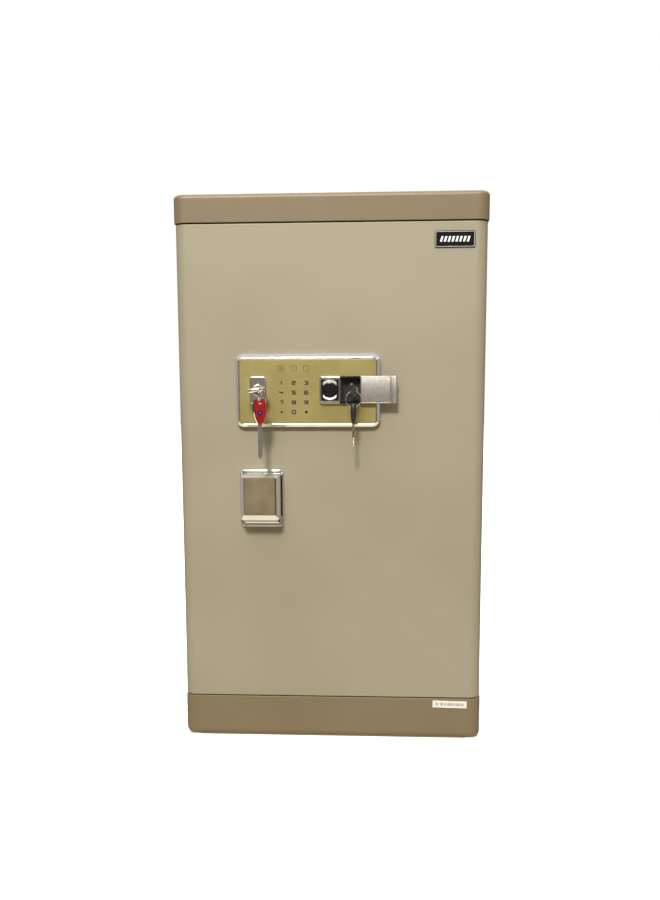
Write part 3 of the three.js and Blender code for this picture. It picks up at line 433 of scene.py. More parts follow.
def build_base():
    low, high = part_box("base_plinth")
    sheet, foot, bend, crease = 3 * mm, 9 * mm, 16 * mm, 0.8 * mm
    lip = foot + sheet
    profile = eased([
        (lip, high.z, 0), (0, high.z, crease), (0, low.z, foot), (lip, low.z, 0),
        (lip, low.z + sheet, 0), (sheet, low.z + sheet, foot - sheet), (sheet, high.z - sheet, 0),
        (lip, high.z - sheet, 0),
    ])
    spans = ((low.x, high.x), (low.y, high.y))
    tray = moulded("plinth", spans, bend, profile, standing)
    pin_low, pin_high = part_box("lower_pivot_pin")
    centre = ((pin_low.x + pin_high.x) / 2, (pin_low.y + pin_high.y) / 2)
    hole = rod("pin_hole", centre, 5.3 * mm, (high.z - 10 * mm, high.z + 10 * mm), standing)
    settle(carved(tray, hole), trim_paint, "base_plinth")


def cast_cement(name):
    """Grey insulating cement, with air pits and pale grit in it; the pits are darkened with painted shade."""
    material, start, place = open_finish(name)
    grit = cloudy(place, 260.0, 4.0, 0.7)
    cells = start.node("ShaderNodeTexVoronoi", {}, {"Vector": place, "Scale": 190.0})
    hole_pits_and_shade = cells.smooth(0.10, 0.22)
    stain = cloudy(place, 14.0, 3.0).smooth(0.3, 0.75)
    tone = grit * 0.6 + stain * 0.4
    plain = tone.mix(rgb(142, 139, 131), rgb(186, 182, 172))
    sockets = {
        # The darker colour in the air pits is painted shade; the same mask also sinks them as bumps.
        "Base Color": hole_pits_and_shade.mix(rgb(96, 93, 88), plain),
        "Roughness": 0.95,
        "Normal": relief(grit * 0.6 + hole_pits_and_shade, 0.8 * mm),
    }
    close_finish(start, sockets)
    return material


cement = cast_cement("cast_cement")
build_base()
coat(trim_paint, "base_plate", "top_plate")
coat(cement, "base_fill", "top_fill", "wall_fill", "door_fill")

# ---------------------------------------------------------------- cap
# The cap is a second sheet tray, a millimetre proud of the body all round, with a rolled top
# edge. It is coated with the base, and its plate carries the upper door pivot.


def build_cap():
    low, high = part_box("top_cap")
    sheet, bend, roll, crease = 3 * mm, 16 * mm, 6 * mm, 0.8 * mm
    profile = eased([
        (bend - mm, high.z, 0), (0, high.z, roll), (0, low.z, crease), (sheet, low.z, 0),
        (sheet, high.z - roll, 0), (bend - mm, high.z - roll, 0),
    ])
    settle(moulded("cap", ((low.x, high.x), (low.y, high.y)), bend, profile, standing, steps=12),
           trim_paint, "top_cap")


build_cap()

# ---------------------------------------------------------------- shell
# The sides and back are one 2 mm sheet bent round two corners, in the same beige powder coat
# as the door. It stands between base and cap, and the door frame closes its open front.

body_paint = powder_coat("beige_powder_coat", rgb(143, 134, 111), rgb(156, 147, 124), 0.40)


def build_shell():
    low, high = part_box("outer_shell")
    sheet, bend = 2 * mm, 16 * mm
    outside = eased([(low.x, low.y, 0), (low.x, high.y, bend),
                     (high.x, high.y, bend), (high.x, low.y, 0)], 10)
    left, right, back = low.x + sheet, high.x - sheet, high.y - sheet
    inner_bend = bend - sheet
    inside = eased([(right, low.y, 0), (right, back, inner_bend),
                    (left, back, inner_bend), (left, low.y, 0)], 10)
    outline = outside + inside
    loops = [[(u, v, z) for u, v in outline] for z in (low.z, high.z)]
    settle(skinned("side_and_back_sheet", loops), body_paint, "outer_shell")


build_shell()

# ---------------------------------------------------------------- door frame, liner and shelf
# Behind the door a folded frame closes the gap between shell and liner, with holes for the
# bolts. The liner is a thin steel box, and a folded shelf rests on four pegs in its walls.


def refined(name, node, edge, finish, segments=2):
    """A copy of a solid with its doubles merged and its edges eased, in the solid's place."""
    piece = bpy.data.objects.new(name, frame["nodes"][node].data.copy())
    scene.collection.objects.link(piece)
    work = bmesh.new()
    work.from_mesh(piece.data)
    bmesh.ops.remove_doubles(work, verts=work.verts, dist=0.004 * mm)
    bmesh.ops.dissolve_limit(work, angle_limit=math.radians(0.6), verts=work.verts, edges=work.edges)
    bmesh.ops.recalc_face_normals(work, faces=work.faces)
    work.to_mesh(piece.data)
    work.free()
    piece.data.shade_smooth()
    bevel = piece.modifiers.new("eased_edges", "BEVEL")
    bevel.harden_normals = True
    bevel.width = edge
    bevel.segments = segments
    bevel.limit_method = "ANGLE"
    bevel.angle_limit = math.radians(40)
    return settle(kept(piece), finish, node)


def zinc_plate(name, tint, darker, gloss):
    """Zinc plate on steel, with a faint yellow and blue bloom and fine rolling lines."""
    material, start, place = open_finish(name)
    bloom = cloudy(place, 18.0, 3.0).smooth(0.3, 0.7)
    stretched = start.node("ShaderNodeMapping", {}, {"Vector": place, "Scale": (900, 900, 30)})
    lines = stretched.node("ShaderNodeTexNoise", {}, {"Vector": stretched, "Scale": 1.0, "Detail": 2.0})
    sockets = {
        "Base Color": (bloom * 0.7 + lines * 0.3).mix(darker, tint),
        "Metallic": 1.0,
        "Roughness": bloom * 0.10 + lines * 0.10 + gloss,
        "Normal": relief(lines, 0.05 * mm, 0.4),
    }
    close_finish(start, sockets)
    return material


def tough_felt(name):
    """Needled felt: short fibres lying every way, with a little lint."""
    material, start, place = open_finish(name)
    fibres = cloudy(place, 1500.0, 4.0, 0.8)
    warped = start.node("ShaderNodeTexVoronoi", {}, {"Vector": place, "Scale": 700.0, "Randomness": 1.0})
    fluff = cloudy(place, 60.0, 3.0)
    tone = fibres * 0.6 + fluff * 0.4
    sockets = {
        "Base Color": tone.mix(rgb(46, 43, 40), rgb(98, 93, 86)),
        "Roughness": 0.98,
        "Normal": relief(fibres + warped * 0.5, 0.7 * mm),
        "Sheen Weight": 0.3,
    }
    close_finish(start, sockets)
    return material


def seal_strip(name):
    """Graphite fire-seal strip, a matt skin with lengthwise ribs and grey chalking."""
    material, start, place = open_finish(name)
    ribs = start.node("ShaderNodeTexWave", {"bands_direction": "DIAGONAL"},
                      {"Vector": place, "Scale": 160.0, "Distortion": 0.6}, "Fac")
    chalk = cloudy(place, 90.0, 4.0, 0.7).smooth(0.4, 0.8)
    sockets = {
        "Base Color": chalk.mix(rgb(58, 57, 55), rgb(112, 110, 106)),
        "Roughness": chalk * 0.1 + 0.82,
        "Normal": relief(ribs * 0.5 + chalk * 0.5, 0.3 * mm),
    }
    close_finish(start, sockets)
    return material


inner_paint = powder_coat("satin_inner_paint", rgb(146, 140, 124), rgb(160, 154, 138), 0.44)
zinc = zinc_plate("zinc_plate", (0.66, 0.66, 0.64, 1), (0.50, 0.50, 0.47, 1), 0.24)
bright_steel = zinc_plate("ground_steel", (0.80, 0.80, 0.79, 1), (0.70, 0.70, 0.69, 1), 0.10)

refined("door_frame", "front_frame", 0.6 * mm, inner_paint)
refined("liner_box", "inner_liner", 0.5 * mm, inner_paint)
refined("steel_shelf", "shelf", 0.5 * mm, inner_paint)
refined("felt_mat", "floor_mat", 0.8 * mm, tough_felt("needled_felt"))
refined("fire_seal", "door_seal", 0.4 * mm, seal_strip("graphite_seal"))
for number in range(1, 5):
    refined(f"peg_{number}", f"shelf_peg_{number}", 0.8 * mm, zinc)
refined("upper_pin", "upper_pivot_pin", 0.6 * mm, bright_steel)
refined("lower_pin", "lower_pivot_pin", 0.6 * mm, bright_steel)

# ---------------------------------------------------------------- door pan
# The door's front is folded from 3 mm steel, its two long edges bent round the same radius as
# the cabinet. Lips turned in round the open back hold the insulation and the boltwork cover.


def middle_of(node):
    low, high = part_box(node)
    return (low + high) / 2


def build_door_pan():
    low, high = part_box("door_outer_panel")
    front_sheet, sheet, bend, crease, lip = 3 * mm, 2 * mm, 16 * mm, 1.3 * mm, 22 * mm
    spans = ((low.x, high.x), (low.y, high.y))
    edge = 4 * mm
    profile = eased([(edge, high.z, 0), (0, high.z, crease), (0, low.z, crease), (edge, low.z, 0)])
    pan = moulded("door_pan", spans, (bend, bend, crease, crease), profile, standing, steps=12)
    inner = bend - front_sheet
    hollow_spans = ((low.x + sheet, high.x - sheet), (low.y + front_sheet, high.y - sheet))
    hollow = moulded("hollow", hollow_spans, (inner, inner, 0, 0),
                     [(0, low.z + sheet), (0, high.z - sheet)], standing)
    mouth_spans = ((low.x + lip, high.x - lip), (low.y + front_sheet, high.y + sheet))
    mouth = moulded("mouth", mouth_spans, 2 * mm, [(0, low.z + lip), (0, high.z - lip)], standing)
    cutters = [hollow, mouth]
    bores = {"handle_escutcheon": 5.5, "main_lock_barrel": 9.5, "emergency_lock_barrel": 7.5}
    for node, radius in bores.items():
        at = middle_of(node)
        cutters.append(rod("bore", (at.x, at.z), radius * mm, (low.y - mm, low.y + 5 * mm), facing))
    for node in ("upper_pivot_pin", "lower_pivot_pin"):
        at = middle_of(node)
        end = high.z if at.z > middle_of("door_outer_panel").z else low.z
        cutters.append(rod("bore", (at.x, at.y), 5.5 * mm, (end - 5 * mm, end + 5 * mm), standing))
    settle(carved(pan, *cutters), body_paint, "door_outer_panel")


def turned_brass(name):
    """Turned brass with fine rings left by the tool and a slight tarnish."""
    material, start, place = open_finish(name)
    tarnish = cloudy(place, 120.0, 3.0).smooth(0.35, 0.75)
    tool = start.node("ShaderNodeTexWave", {"wave_type": "RINGS", "rings_direction": "Z"},
                      {"Vector": place, "Scale": 700.0}, "Fac")
    sockets = {
        "Base Color": tarnish.mix((0.72, 0.54, 0.25, 1), (0.52, 0.37, 0.16, 1)),
        "Metallic": 1.0,
        "Roughness": tarnish * 0.18 + 0.20,
        "Normal": relief(tool, 0.03 * mm, 0.4),
    }
    close_finish(start, sockets)
    return material


build_door_pan()
brass = turned_brass("turned_brass")
refined("upper_bush", "upper_pivot_bush", 0.6 * mm, brass)
refined("lower_bush", "lower_pivot_bush", 0.6 * mm, brass)

# ---------------------------------------------------------------- boltwork and its cover
# Three bolts stand on a carriage that the handle's crank draws back, and a solenoid's plunger
# blocks it. They sit on a plate on the door's back, under a thin folded cover held by screws.


def tree_of(name, inputs):
    """A Geometry Nodes tree with these named inputs, as the wire of its group input."""
    tree = bpy.data.node_groups.new(name, "GeometryNodeTree")
    tree.interface.new_socket("Seed shape", in_out="INPUT", socket_type="NodeSocketGeometry")
    for label, kind in inputs.items():
        tree.interface.new_socket(label, in_out="INPUT", socket_type="NodeSocket" + kind)
    tree.interface.new_socket("Shape", in_out="OUTPUT", socket_type="NodeSocketGeometry")
    return Wire(tree).node("NodeGroupInput")


def end_tree(shape, finish):
    """Makes the instances real, coats them, and closes the tree."""
    real = shape.node("GeometryNodeRealizeInstances", {}, {"Geometry": shape})
    coated = shape.node("GeometryNodeSetMaterial", {}, {"Geometry": real, "Material": finish})
    shape.node("NodeGroupOutput", {}, {"Shape": coated})
    return shape.tree


def grown(name, tree, points, edges, values, sharp=32):
    """Runs a tree on a seed of points and edges, and keeps the result as a plain mesh."""
    seed = bpy.data.meshes.new(name)
    seed.from_pydata(points, edges, [])
    piece = bpy.data.objects.new(name, seed)
    scene.collection.objects.link(piece)
    modifier = piece.modifiers.new("tree", "NODES")
    modifier.node_group = tree
    for item in tree.interface.items_tree:
        if item.in_out == "INPUT" and item.name in values:
            modifier[item.identifier] = values[item.name]
    return shade(kept(piece), sharp)


def build_screw_head():
    """A domed screw head with a cross recess, its underside at z = 0."""
    radius, rise = 3.6 * mm, 1.5 * mm
    arch = [(radius * math.cos(a), rise * math.sin(a)) for a in (0, 0.5, 0.9, 1.25)]
    around = [2 * math.pi * step / 16 for step in range(16)]
    loops = [[(r * math.cos(a), r * math.sin(a), z) for a in around] for r, z in [(radius, -0.3 * mm)] + arch]
    head = skinned("screw_head", loops)
    slots = []
    for wide, deep in ((2.1 * mm, 0.35 * mm), (0.35 * mm, 2.1 * mm)):
        slot_spans = ((-wide, wide), (-deep, deep))
        slots.append(moulded("slot", slot_spans, 0, [(0, 0.5 * mm), (0, 3 * mm)], standing))
    return carved(head, *slots)


def screw_tree(finish):
    given = tree_of("screws", {"Head": "Object", "Facing": "Vector", "Twist seed": "Int"})
    head = given.node("GeometryNodeObjectInfo", {}, {"Object": given.other("Head")}, "Geometry")
    twist = given.node("FunctionNodeRandomValue", {"data_type": "FLOAT"},
                       {2: 0.0, 3: 3.1, "Seed": given.other("Twist seed")}, 1)
    local = given.node("ShaderNodeCombineXYZ", {}, {"Z": twist})
    placed = given.node("GeometryNodeInstanceOnPoints", {}, {
        "Points": given.other("Seed shape"), "Instance": head, "Rotation": given.other("Facing")})
    turned = given.node("GeometryNodeRotateInstances", {}, {"Instances": placed, "Rotation": local})
    return end_tree(turned, finish)


def build_cover_screws(head, tree):
    low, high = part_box("door_inner_cover")
    inset = 11 * mm
    xs = [low.x + inset, middle_of("door_inner_cover").x, high.x - inset]
    rows = 5
    step = (high.z - low.z - 2 * inset) / (rows - 1)
    places = []
    for row in range(rows):
        for x in xs:
            if row in (0, rows - 1) or x != xs[1]:
                places.append((x, high.y, low.z + inset + row * step))
    values = {"Head": head, "Facing": (-math.pi / 2, 0, 0), "Twist seed": 4}
    settle(grown("cover_screws", tree, places, [], values), zinc, body="door", slot="zinc_steel")


def black_moulding(name, shade_of, gloss):
    """Injection-moulded black plastic with a fine eroded texture."""
    material, start, place = open_finish(name)
    grain = cloudy(place, 1300.0, 3.0, 0.7)
    wear = cloudy(place, 70.0, 3.0).smooth(0.45, 0.8)
    sockets = {
        "Base Color": wear.mix(shade_of, (shade_of[0] * 1.7, shade_of[1] * 1.7, shade_of[2] * 1.7, 1)),
        "Roughness": grain * 0.18 + wear * 0.08 + gloss,
        "Normal": relief(grain, 0.08 * mm, 0.6),
    }
    close_finish(start, sockets)
    return material


def printed_board(name):
    """A green circuit board with its copper tracks and pads showing through the mask."""
    material, start, place = open_finish(name)
    flat = start.node("ShaderNodeMapping", {}, {"Vector": place, "Rotation": (math.pi / 2, 0, 0)})
    tracks = start.node("ShaderNodeTexBrick", {"offset": 0.35}, {
        "Vector": flat, "Scale": 160.0, "Mortar Size": 0.05, "Color1": (0, 0, 0, 1),
        "Color2": (0, 0, 0, 1), "Mortar": (1, 1, 1, 1)}, "Fac")
    mottle = cloudy(place, 500.0, 2.0)
    sockets = {
        "Base Color": (tracks * 0.8 + mottle * 0.2).mix(rgb(18, 74, 42), rgb(88, 128, 72)),
        "Roughness": mottle * 0.2 + 0.3,
        "Normal": relief(tracks, 0.04 * mm),
    }
    close_finish(start, sockets)
    return material


black_plastic = black_moulding("black_plastic", (0.012, 0.012, 0.013, 1), 0.34)

refined("boltwork_cover", "door_inner_cover", 0.8 * mm, inner_paint)
refined("mounting_plate", "boltwork_plate", 0.5 * mm, zinc)
refined("dog_bar", "hinge_side_dog", 1.0 * mm, zinc)
refined("bolt_guide_block", "bolt_guide", 0.6 * mm, zinc)
refined("carriage", "bolt_carriage", 0.5 * mm, zinc)
refined("solenoid_frame", "solenoid_body", 0.5 * mm, zinc)
refined("plunger_pin", "solenoid_plunger", 0.5 * mm, bright_steel)
for number in range(1, 4):
    refined(f"bolt_{number}", f"lock_bolt_{number}", 1.6 * mm, bright_steel, 3)
screw_head = build_screw_head()
build_cover_screws(screw_head, screw_tree(zinc))
bpy.data.objects.remove(screw_head)
coat(printed_board("circuit_board"), "control_board")
refined("battery_holder", "battery_pack", 0.8 * mm, black_plastic)
refined("battery_hatch", "battery_lid", 0.8 * mm, black_plastic)

# ---------------------------------------------------------------- control panel
# A chrome-plated die-cast frame holds a pale gold anodised sheet. The touch keys' digits and
# three plain signs above them are printed on it, and a light behind shows them.


def chrome_plate(name, tint, gloss):
    """Bright plating over a casting, with faint ripples, hazy smears and fine wipe marks."""
    material, start, place = open_finish(name)
    haze = cloudy(place, 60.0, 3.0).smooth(0.40, 0.75)
    ripple = cloudy(place, 170.0, 1.0)
    wiped = start.node("ShaderNodeMapping", {}, {"Vector": place, "Scale": (160, 160, 2200)})
    marks = wiped.node("ShaderNodeTexNoise", {}, {"Vector": wiped, "Scale": 1.0, "Detail": 2.0})
    dull = tuple(part * 0.9 for part in tint)
    sockets = {
        "Base Color": (haze * 0.7 + marks * 0.3).mix((*tint, 1), (*dull, 1)),
        "Metallic": 1.0,
        "Roughness": haze * 0.06 + marks.smooth(0.5, 0.8) * 0.04 + gloss,
        "Normal": relief(ripple, 0.08 * mm, 0.5),
    }
    close_finish(start, sockets)
    return material


def brushed_gold(name):
    """Anodised sheet in pale gold, brushed across, with a soft change of tone."""
    material, start, place = open_finish(name)
    brushed = start.node("ShaderNodeMapping", {}, {"Vector": place, "Scale": (14, 14, 2600)})
    lines = brushed.node("ShaderNodeTexNoise", {}, {"Vector": brushed, "Scale": 1.0, "Detail": 4.0})
    drift = cloudy(place, 26.0, 2.0).smooth(0.3, 0.7)
    tone = lines.smooth(0.3, 0.7) * 0.45 + drift * 0.55
    sockets = {
        "Base Color": tone.mix(rgb(172, 157, 100), rgb(190, 175, 114)),
        "Metallic": 0.75,
        "Roughness": lines * 0.12 + 0.32,
        "Normal": relief(lines, 0.02 * mm, 0.5),
    }
    close_finish(start, sockets)
    return material


def printed_ink(name, colour, gloss=0.5):
    """Screen-printed ink, slightly uneven in density."""
    material, start, place = open_finish(name)
    density = cloudy(place, 1800.0, 2.0)
    thin = tuple(min(1.0, part * 1.5 + 0.01) for part in colour[:3])
    sockets = {
        "Base Color": density.smooth(0.45, 0.85).mix(colour, (*thin, 1)),
        "Roughness": density * 0.15 + gloss,
        "Normal": relief(density, 0.01 * mm),
    }
    close_finish(start, sockets)
    return material


chrome = chrome_plate("chrome_plate", (0.86, 0.84, 0.80), 0.07)
gold = brushed_gold("pale_gold_anodising")
black_ink = printed_ink("black_ink", (0.010, 0.008, 0.006, 1))
brown_ink = printed_ink("brown_ink", (0.075, 0.055, 0.022, 1))

panel_low, panel_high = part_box("panel_frame")
fascia_low, fascia_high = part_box("panel_fascia")
module_low, module_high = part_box("module_tray")


def spans_of(node, grow=0.0):
    low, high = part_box(node)
    return ((low.x - grow, high.x + grow), (low.z - grow, high.z + grow))


def module_notch(extra, back_y):
    """Room for the module's tray and cover across the panel's right edge."""
    spans = ((module_low.x + 28 * mm, module_high.x + 30 * mm),
             (module_low.z - extra, module_high.z + extra))
    return moulded("notch", spans, 0, [(0, module_low.y - 4 * mm), (0, back_y)], facing)


# The frame's top side is broader than the other three.
TOP_SHARE = 1.5


def build_panel_frame():
    front, back = panel_low.y, panel_high.y
    rim, bed_y = 5.4 * mm, fascia_high.y + 0.3 * mm
    section = eased([
        (0.4 * mm, back, 0), (0, back - 1.2 * mm, 0.6 * mm), (0, front + 3.6 * mm, 0.9 * mm),
        (4.2 * mm, front, 0.8 * mm), (rim - 0.2 * mm, front + 1.1 * mm, 0.3 * mm),
        (rim, bed_y, 0), (rim + 2 * mm, bed_y, 0), (rim + 2 * mm, back, 0),
    ], 8)
    profile = [((u, u, u, u * TOP_SHARE), y) for u, y in section]
    ring = moulded("panel_surround", spans_of("panel_frame"), 11 * mm, profile, facing, closed=True, steps=10)
    settle(carved(ring, module_notch(0.2 * mm, module_high.y + 1.2 * mm)), chrome, "panel_frame")


def build_fascia():
    low, high = fascia_low, fascia_high
    edge = 2 * mm
    profile = eased([(edge, low.y, 0), (0, low.y, 0.25 * mm), (0, high.y, 0), (edge, high.y, 0)], 3)
    drop = 5.4 * mm * (TOP_SHARE - 1)
    spans = ((low.x, high.x), (low.z, high.z - drop))
    sheet = moulded("gold_fascia", spans, 5.4 * mm, profile, facing)
    at = middle_of("main_lock_barrel")
    bore = rod("bore", (at.x, at.z), 9.3 * mm, (low.y - mm, high.y + mm), facing)
    well_low, well_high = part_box("key_recess")
    room = 0.8 * mm
    well_spans = ((well_low.x - room, well_high.x + room), (well_low.z - room, well_high.z + room))
    well = moulded("well", well_spans, 0, [(0, low.y - mm), (0, high.y + mm)], facing)
    settle(carved(sheet, bore, well), gold, "panel_fascia")


def stroke_tree(finish):
    """Every line of the seed becomes a flat strip with rounded bends."""
    given = tree_of("printed_strokes", {"Width": "Float", "Thickness": "Float", "Bend": "Float"})
    line = given.node("GeometryNodeMeshToCurve", {}, {"Mesh": given.other("Seed shape")})
    bent = line.node("GeometryNodeFilletCurve", {"mode": "POLY"}, {
        "Curve": line, "Count": 3, "Radius": given.other("Bend"), "Limit Radius": True})
    section = line.node("GeometryNodeCurvePrimitiveQuadrilateral", {}, {
        "Width": given.other("Width"), "Height": given.other("Thickness")})
    strip = line.node("GeometryNodeCurveToMesh", {}, {
        "Curve": bent, "Profile Curve": section, "Fill Caps": True})
    return end_tree(strip, finish)


def stand_up(piece, y):
    """Turns what was drawn flat in x and y to face forwards at that depth."""
    upright = Matrix(((1, 0, 0, 0), (0, 0, -1, y), (0, 1, 0, 0), (0, 0, 0, 1)))
    piece.data.transform(upright)
    return piece


# Each sign is drawn in a box from (-1, -1) to (1, 1), as open lines.
DIGITS = {
    "1": [[(-0.35, 0.75), (0.1, 1), (0.1, -1)]],
    "2": [[(-1, 1), (1, 1), (1, 0), (-1, 0), (-1, -1), (1, -1)]],
    "3": [[(-1, 1), (1, 1), (1, -1), (-1, -1)], [(-0.4, 0), (1, 0)]],
    "4": [[(-1, 1), (-1, 0), (1, 0)], [(0.55, 0.6), (0.55, -1)]],
    "5": [[(1, 1), (-1, 1), (-1, 0), (1, 0), (1, -1), (-1, -1)]],
    "6": [[(1, 1), (-1, 1), (-1, -1), (1, -1), (1, 0), (-1, 0)]],
    "7": [[(-1, 1), (1, 1), (1, 0.3), (0.2, -1)]],
    "8": [[(-1, 1), (1, 1), (1, -1), (-1, -1), (-1, 1)], [(-1, 0), (1, 0)]],
    "9": [[(1, 0), (-1, 0), (-1, 1), (1, 1), (1, -1), (-1, -1)]],
    "*": [[(-0.6, 0), (0.6, 0)], [(-0.35, 0.55), (0.35, -0.55)], [(-0.35, -0.55), (0.35, 0.55)]],
    "0": [[(-1, 1), (1, 1), (1, -1), (-1, -1), (-1, 1)]],
    "#": [[(-0.7, 0.35), (0.7, 0.35)], [(-0.7, -0.35), (0.7, -0.35)],
          [(-0.3, 0.8), (-0.3, -0.8)], [(0.35, 0.8), (0.35, -0.8)]],
}
BOX_LINE = [(-1, 1), (1, 1), (1, -1), (-1, -1), (-1, 1)]
SIGNS = [
    [BOX_LINE, [(-0.5, 0.5), (0.5, -0.5)], [(-0.5, -0.5), (0.5, 0.5)]],
    [BOX_LINE, [(0, 0.55), (0, -0.55)]],
    [BOX_LINE, [(-0.15, 0.5), (0.15, 0.5)]],
]


def lines_at(drawings):
    """Seed points and edges for a row of (drawing, centre, half width, half height)."""
    points, edges = [], []
    for lines, (x, y), wide, tall in drawings:
        for line in lines:
            looped = line[0] == line[-1]
            first = len(points)
            corners = line[:-1] if looped else line
            points.extend((x + u * wide, y + v * tall, 0) for u, v in corners)
            edges.extend((first + i, first + i + 1) for i in range(len(corners) - 1))
            if looped:
                edges.append((len(points) - 1, first))
    return points, edges


def build_print(tree_black, tree_brown):
    pitch_x, pitch_z = 18 * mm, 14 * mm
    left = panel_low.x + 66.6 * mm
    top = (panel_low.z + panel_high.z) / 2 + 10.9 * mm
    drawings = []
    for index, lines in enumerate(DIGITS[key] for key in "123456789*0#"):
        place = (left + index % 3 * pitch_x, top - index // 3 * pitch_z)
        drawings.append((lines, place, 2.45 * mm, 2.2 * mm))
    thick = 0.10 * mm
    values = {"Width": 1.45 * mm, "Thickness": thick, "Bend": 0.55 * mm}
    digits = grown("printed_digits", tree_black, *lines_at(drawings), values)
    settle(stand_up(digits, fascia_low.y - thick / 2), black_ink, body="door", slot="gold_face")
    rise = 20.9 * mm
    signs = [(lines, (left + i * pitch_x, top + rise), 3.9 * mm, 3.9 * mm) for i, lines in enumerate(SIGNS)]
    values = {"Width": 0.62 * mm, "Thickness": thick, "Bend": 1.2 * mm}
    outlines = grown("printed_signs", tree_brown, *lines_at(signs), values)
    settle(stand_up(outlines, fascia_low.y - thick / 2), brown_ink, body="door", slot="gold_face")


build_panel_frame()
build_fascia()
build_print(stroke_tree(black_ink), stroke_tree(brown_ink))

# ---------------------------------------------------------------- fingerprint and key module
# A chromed tray across the panel's right side carries a square fingerprint window. Beside it a
# black recess hides the emergency lock, and a brushed sliding cover, drawn here, shuts it.


def gloss_black(name, speck):
    """Polished black with faint dust and a hint of dirt in it."""
    material, start, place = open_finish(name)
    dust = cloudy(place, 1400.0, 2.0).smooth(0.62, 0.8)
    cloud = cloudy(place, 90.0, 2.0)
    sockets = {
        "Base Color": (dust * speck).mix((0.006, 0.006, 0.007, 1), (0.20, 0.19, 0.18, 1)),
        "Roughness": dust * 0.2 + cloud * 0.08 + 0.10,
        "Normal": relief(cloud, 0.03 * mm, 0.3),
    }
    close_finish(start, sockets)
    return material


def satin_steel(name):
    """Bead-blasted plate: a fine silver speckle over a grey ground."""
    material, start, place = open_finish(name)
    speckle = cloudy(place, 1500.0, 3.0, 0.7).smooth(0.35, 0.65)
    coarse = cloudy(place, 520.0, 2.0).smooth(0.3, 0.7)
    sockets = {
        "Base Color": (speckle * 0.6 + coarse * 0.4).mix(rgb(150, 144, 136), rgb(206, 199, 190)),
        "Metallic": 0.9,
        "Roughness": speckle * 0.15 + 0.34,
        "Normal": relief(speckle, 0.05 * mm, 0.6),
    }
    close_finish(start, sockets)
    return material


polished_black = gloss_black("polished_black", 0.25)
blasted = satin_steel("blasted_plate")


def build_tray():
    low, high = module_low, module_high
    reader_right = low.x + 30 * mm
    bevel = 1.3 * mm
    edge = 3 * mm
    profile = eased([
        (edge, low.y, 0), (0.9 * mm, low.y, 0.4 * mm), (0, low.y + bevel, 0.5 * mm),
        (0, high.y, 0), (edge, high.y, 0),
    ], 4)
    spans = ((low.x, reader_right), (low.z, high.z))
    frame_piece = moulded("reader_frame", spans, (4 * mm, 0.6 * mm, 0.6 * mm, 4 * mm), profile, facing)
    window_low, window_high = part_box("reader_bezel")
    room = 0.3 * mm
    window = ((window_low.x - room, window_high.x + room), (window_low.z - room, window_high.z + room))
    depth = [(-0.9 * mm, low.y - 0.3 * mm), (0, low.y + 0.8 * mm), (0, low.y + 2.6 * mm)]
    pocket = moulded("pocket", window, 1.2 * mm, depth, facing)
    at = middle_of("reader_sensor")
    bore = rod("bore", (at.x, at.z), 8.6 * mm, (low.y, high.y + mm), facing)
    settle(carved(frame_piece, pocket, bore), chrome, "module_tray")

    rails = []
    tall, deep = 3 * mm, 3.4 * mm
    for z0, z1 in ((low.z, low.z + tall), (high.z - tall, high.z)):
        rails.append(moulded("rail", ((reader_right, high.x), (z0, z1)), 0.3 * mm,
                             [(0.25 * mm, low.y + 0.6 * mm), (0, low.y + 0.9 * mm),
                              (0, low.y + deep)], facing))
    rail_names = ("lower_rail", "upper_rail")
    for rail, name in zip(rails, rail_names):
        rail.name = name
        settle(rail, polished_black, body="door", slot="gloss_black")


def build_reader():
    low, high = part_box("reader_bezel")
    at = middle_of("reader_sensor")
    spans = spans_of("reader_bezel")
    face = low.y + 0.1 * mm
    profile = eased([(2 * mm, face, 0), (0, face, 0.3 * mm), (0, high.y, 0), (2 * mm, high.y, 0)], 3)
    plate = moulded("reader_window", spans, 1.4 * mm, profile, facing)
    outer, inner = 14.6 * mm, 11.2 * mm
    dish = rod("dish", (at.x, at.z), outer, (face - mm, face + 1.1 * mm), facing, 64)
    settle(carved(plate, dish), polished_black, "reader_bezel")

    # Two pale crescents above and below the sensor are painted highlights on the window: a near-white ring,
    # cut away at both sides.
    reach, side = 9.6 * mm, 20 * mm
    around = [2 * math.pi * step / 96 for step in range(96)]
    section = ((outer - 0.1 * mm, 1.05 * mm), (outer - 0.15 * mm, 0.25 * mm), (outer - 1.0 * mm, 0.05 * mm),
               (inner + 1.2 * mm, 0.35 * mm), (inner + 0.1 * mm, 1.05 * mm))
    loops = [[(at.x + radius * math.cos(a), face + sink, at.z + radius * math.sin(a)) for a in around]
             for radius, sink in section]
    ring = skinned("reader_crescents", loops, closed=True)
    ends = []
    for x0, x1 in ((at.x - side, at.x - reach), (at.x + reach, at.x + side)):
        ends.append(moulded("end", ((x0, x1), (at.z - side, at.z + side)), 0,
                            [(0, face - 2 * mm), (0, face + 2 * mm)], facing))
    settle(carved(ring, *ends), painted_highlight_white("painted_highlight_ring"), body="door", slot="chrome")

    eye_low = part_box("reader_sensor")[0]
    radius = 10.9 * mm
    dome = [(radius * math.cos(a), 0.9 * mm * math.sin(a)) for a in (0, 0.35, 0.7, 1.0, 1.3)]
    around = [2 * math.pi * step / 48 for step in range(48)]
    loops = [[(at.x + r * math.cos(a), eye_low.y + 0.9 * mm - rise, at.z + r * math.sin(a)) for a in around]
             for r, rise in [(radius, -1.2 * mm)] + dome]
    settle(skinned("reader_eye", loops), polished_black, "reader_sensor")


def painted_highlight_white(name):
    """A painted highlight: a nearly white, glossy, part-metal sheet."""
    material, start, place = open_finish(name)
    haze = cloudy(place, 300.0, 2.0)
    sockets = {
        "Base Color": haze.mix((0.95, 0.95, 0.94, 1), (0.86, 0.86, 0.85, 1)),
        "Metallic": 0.6,
        "Roughness": haze * 0.1 + 0.22,
        "Normal": relief(haze, 0.02 * mm, 0.5),
    }
    close_finish(start, sockets)
    return material


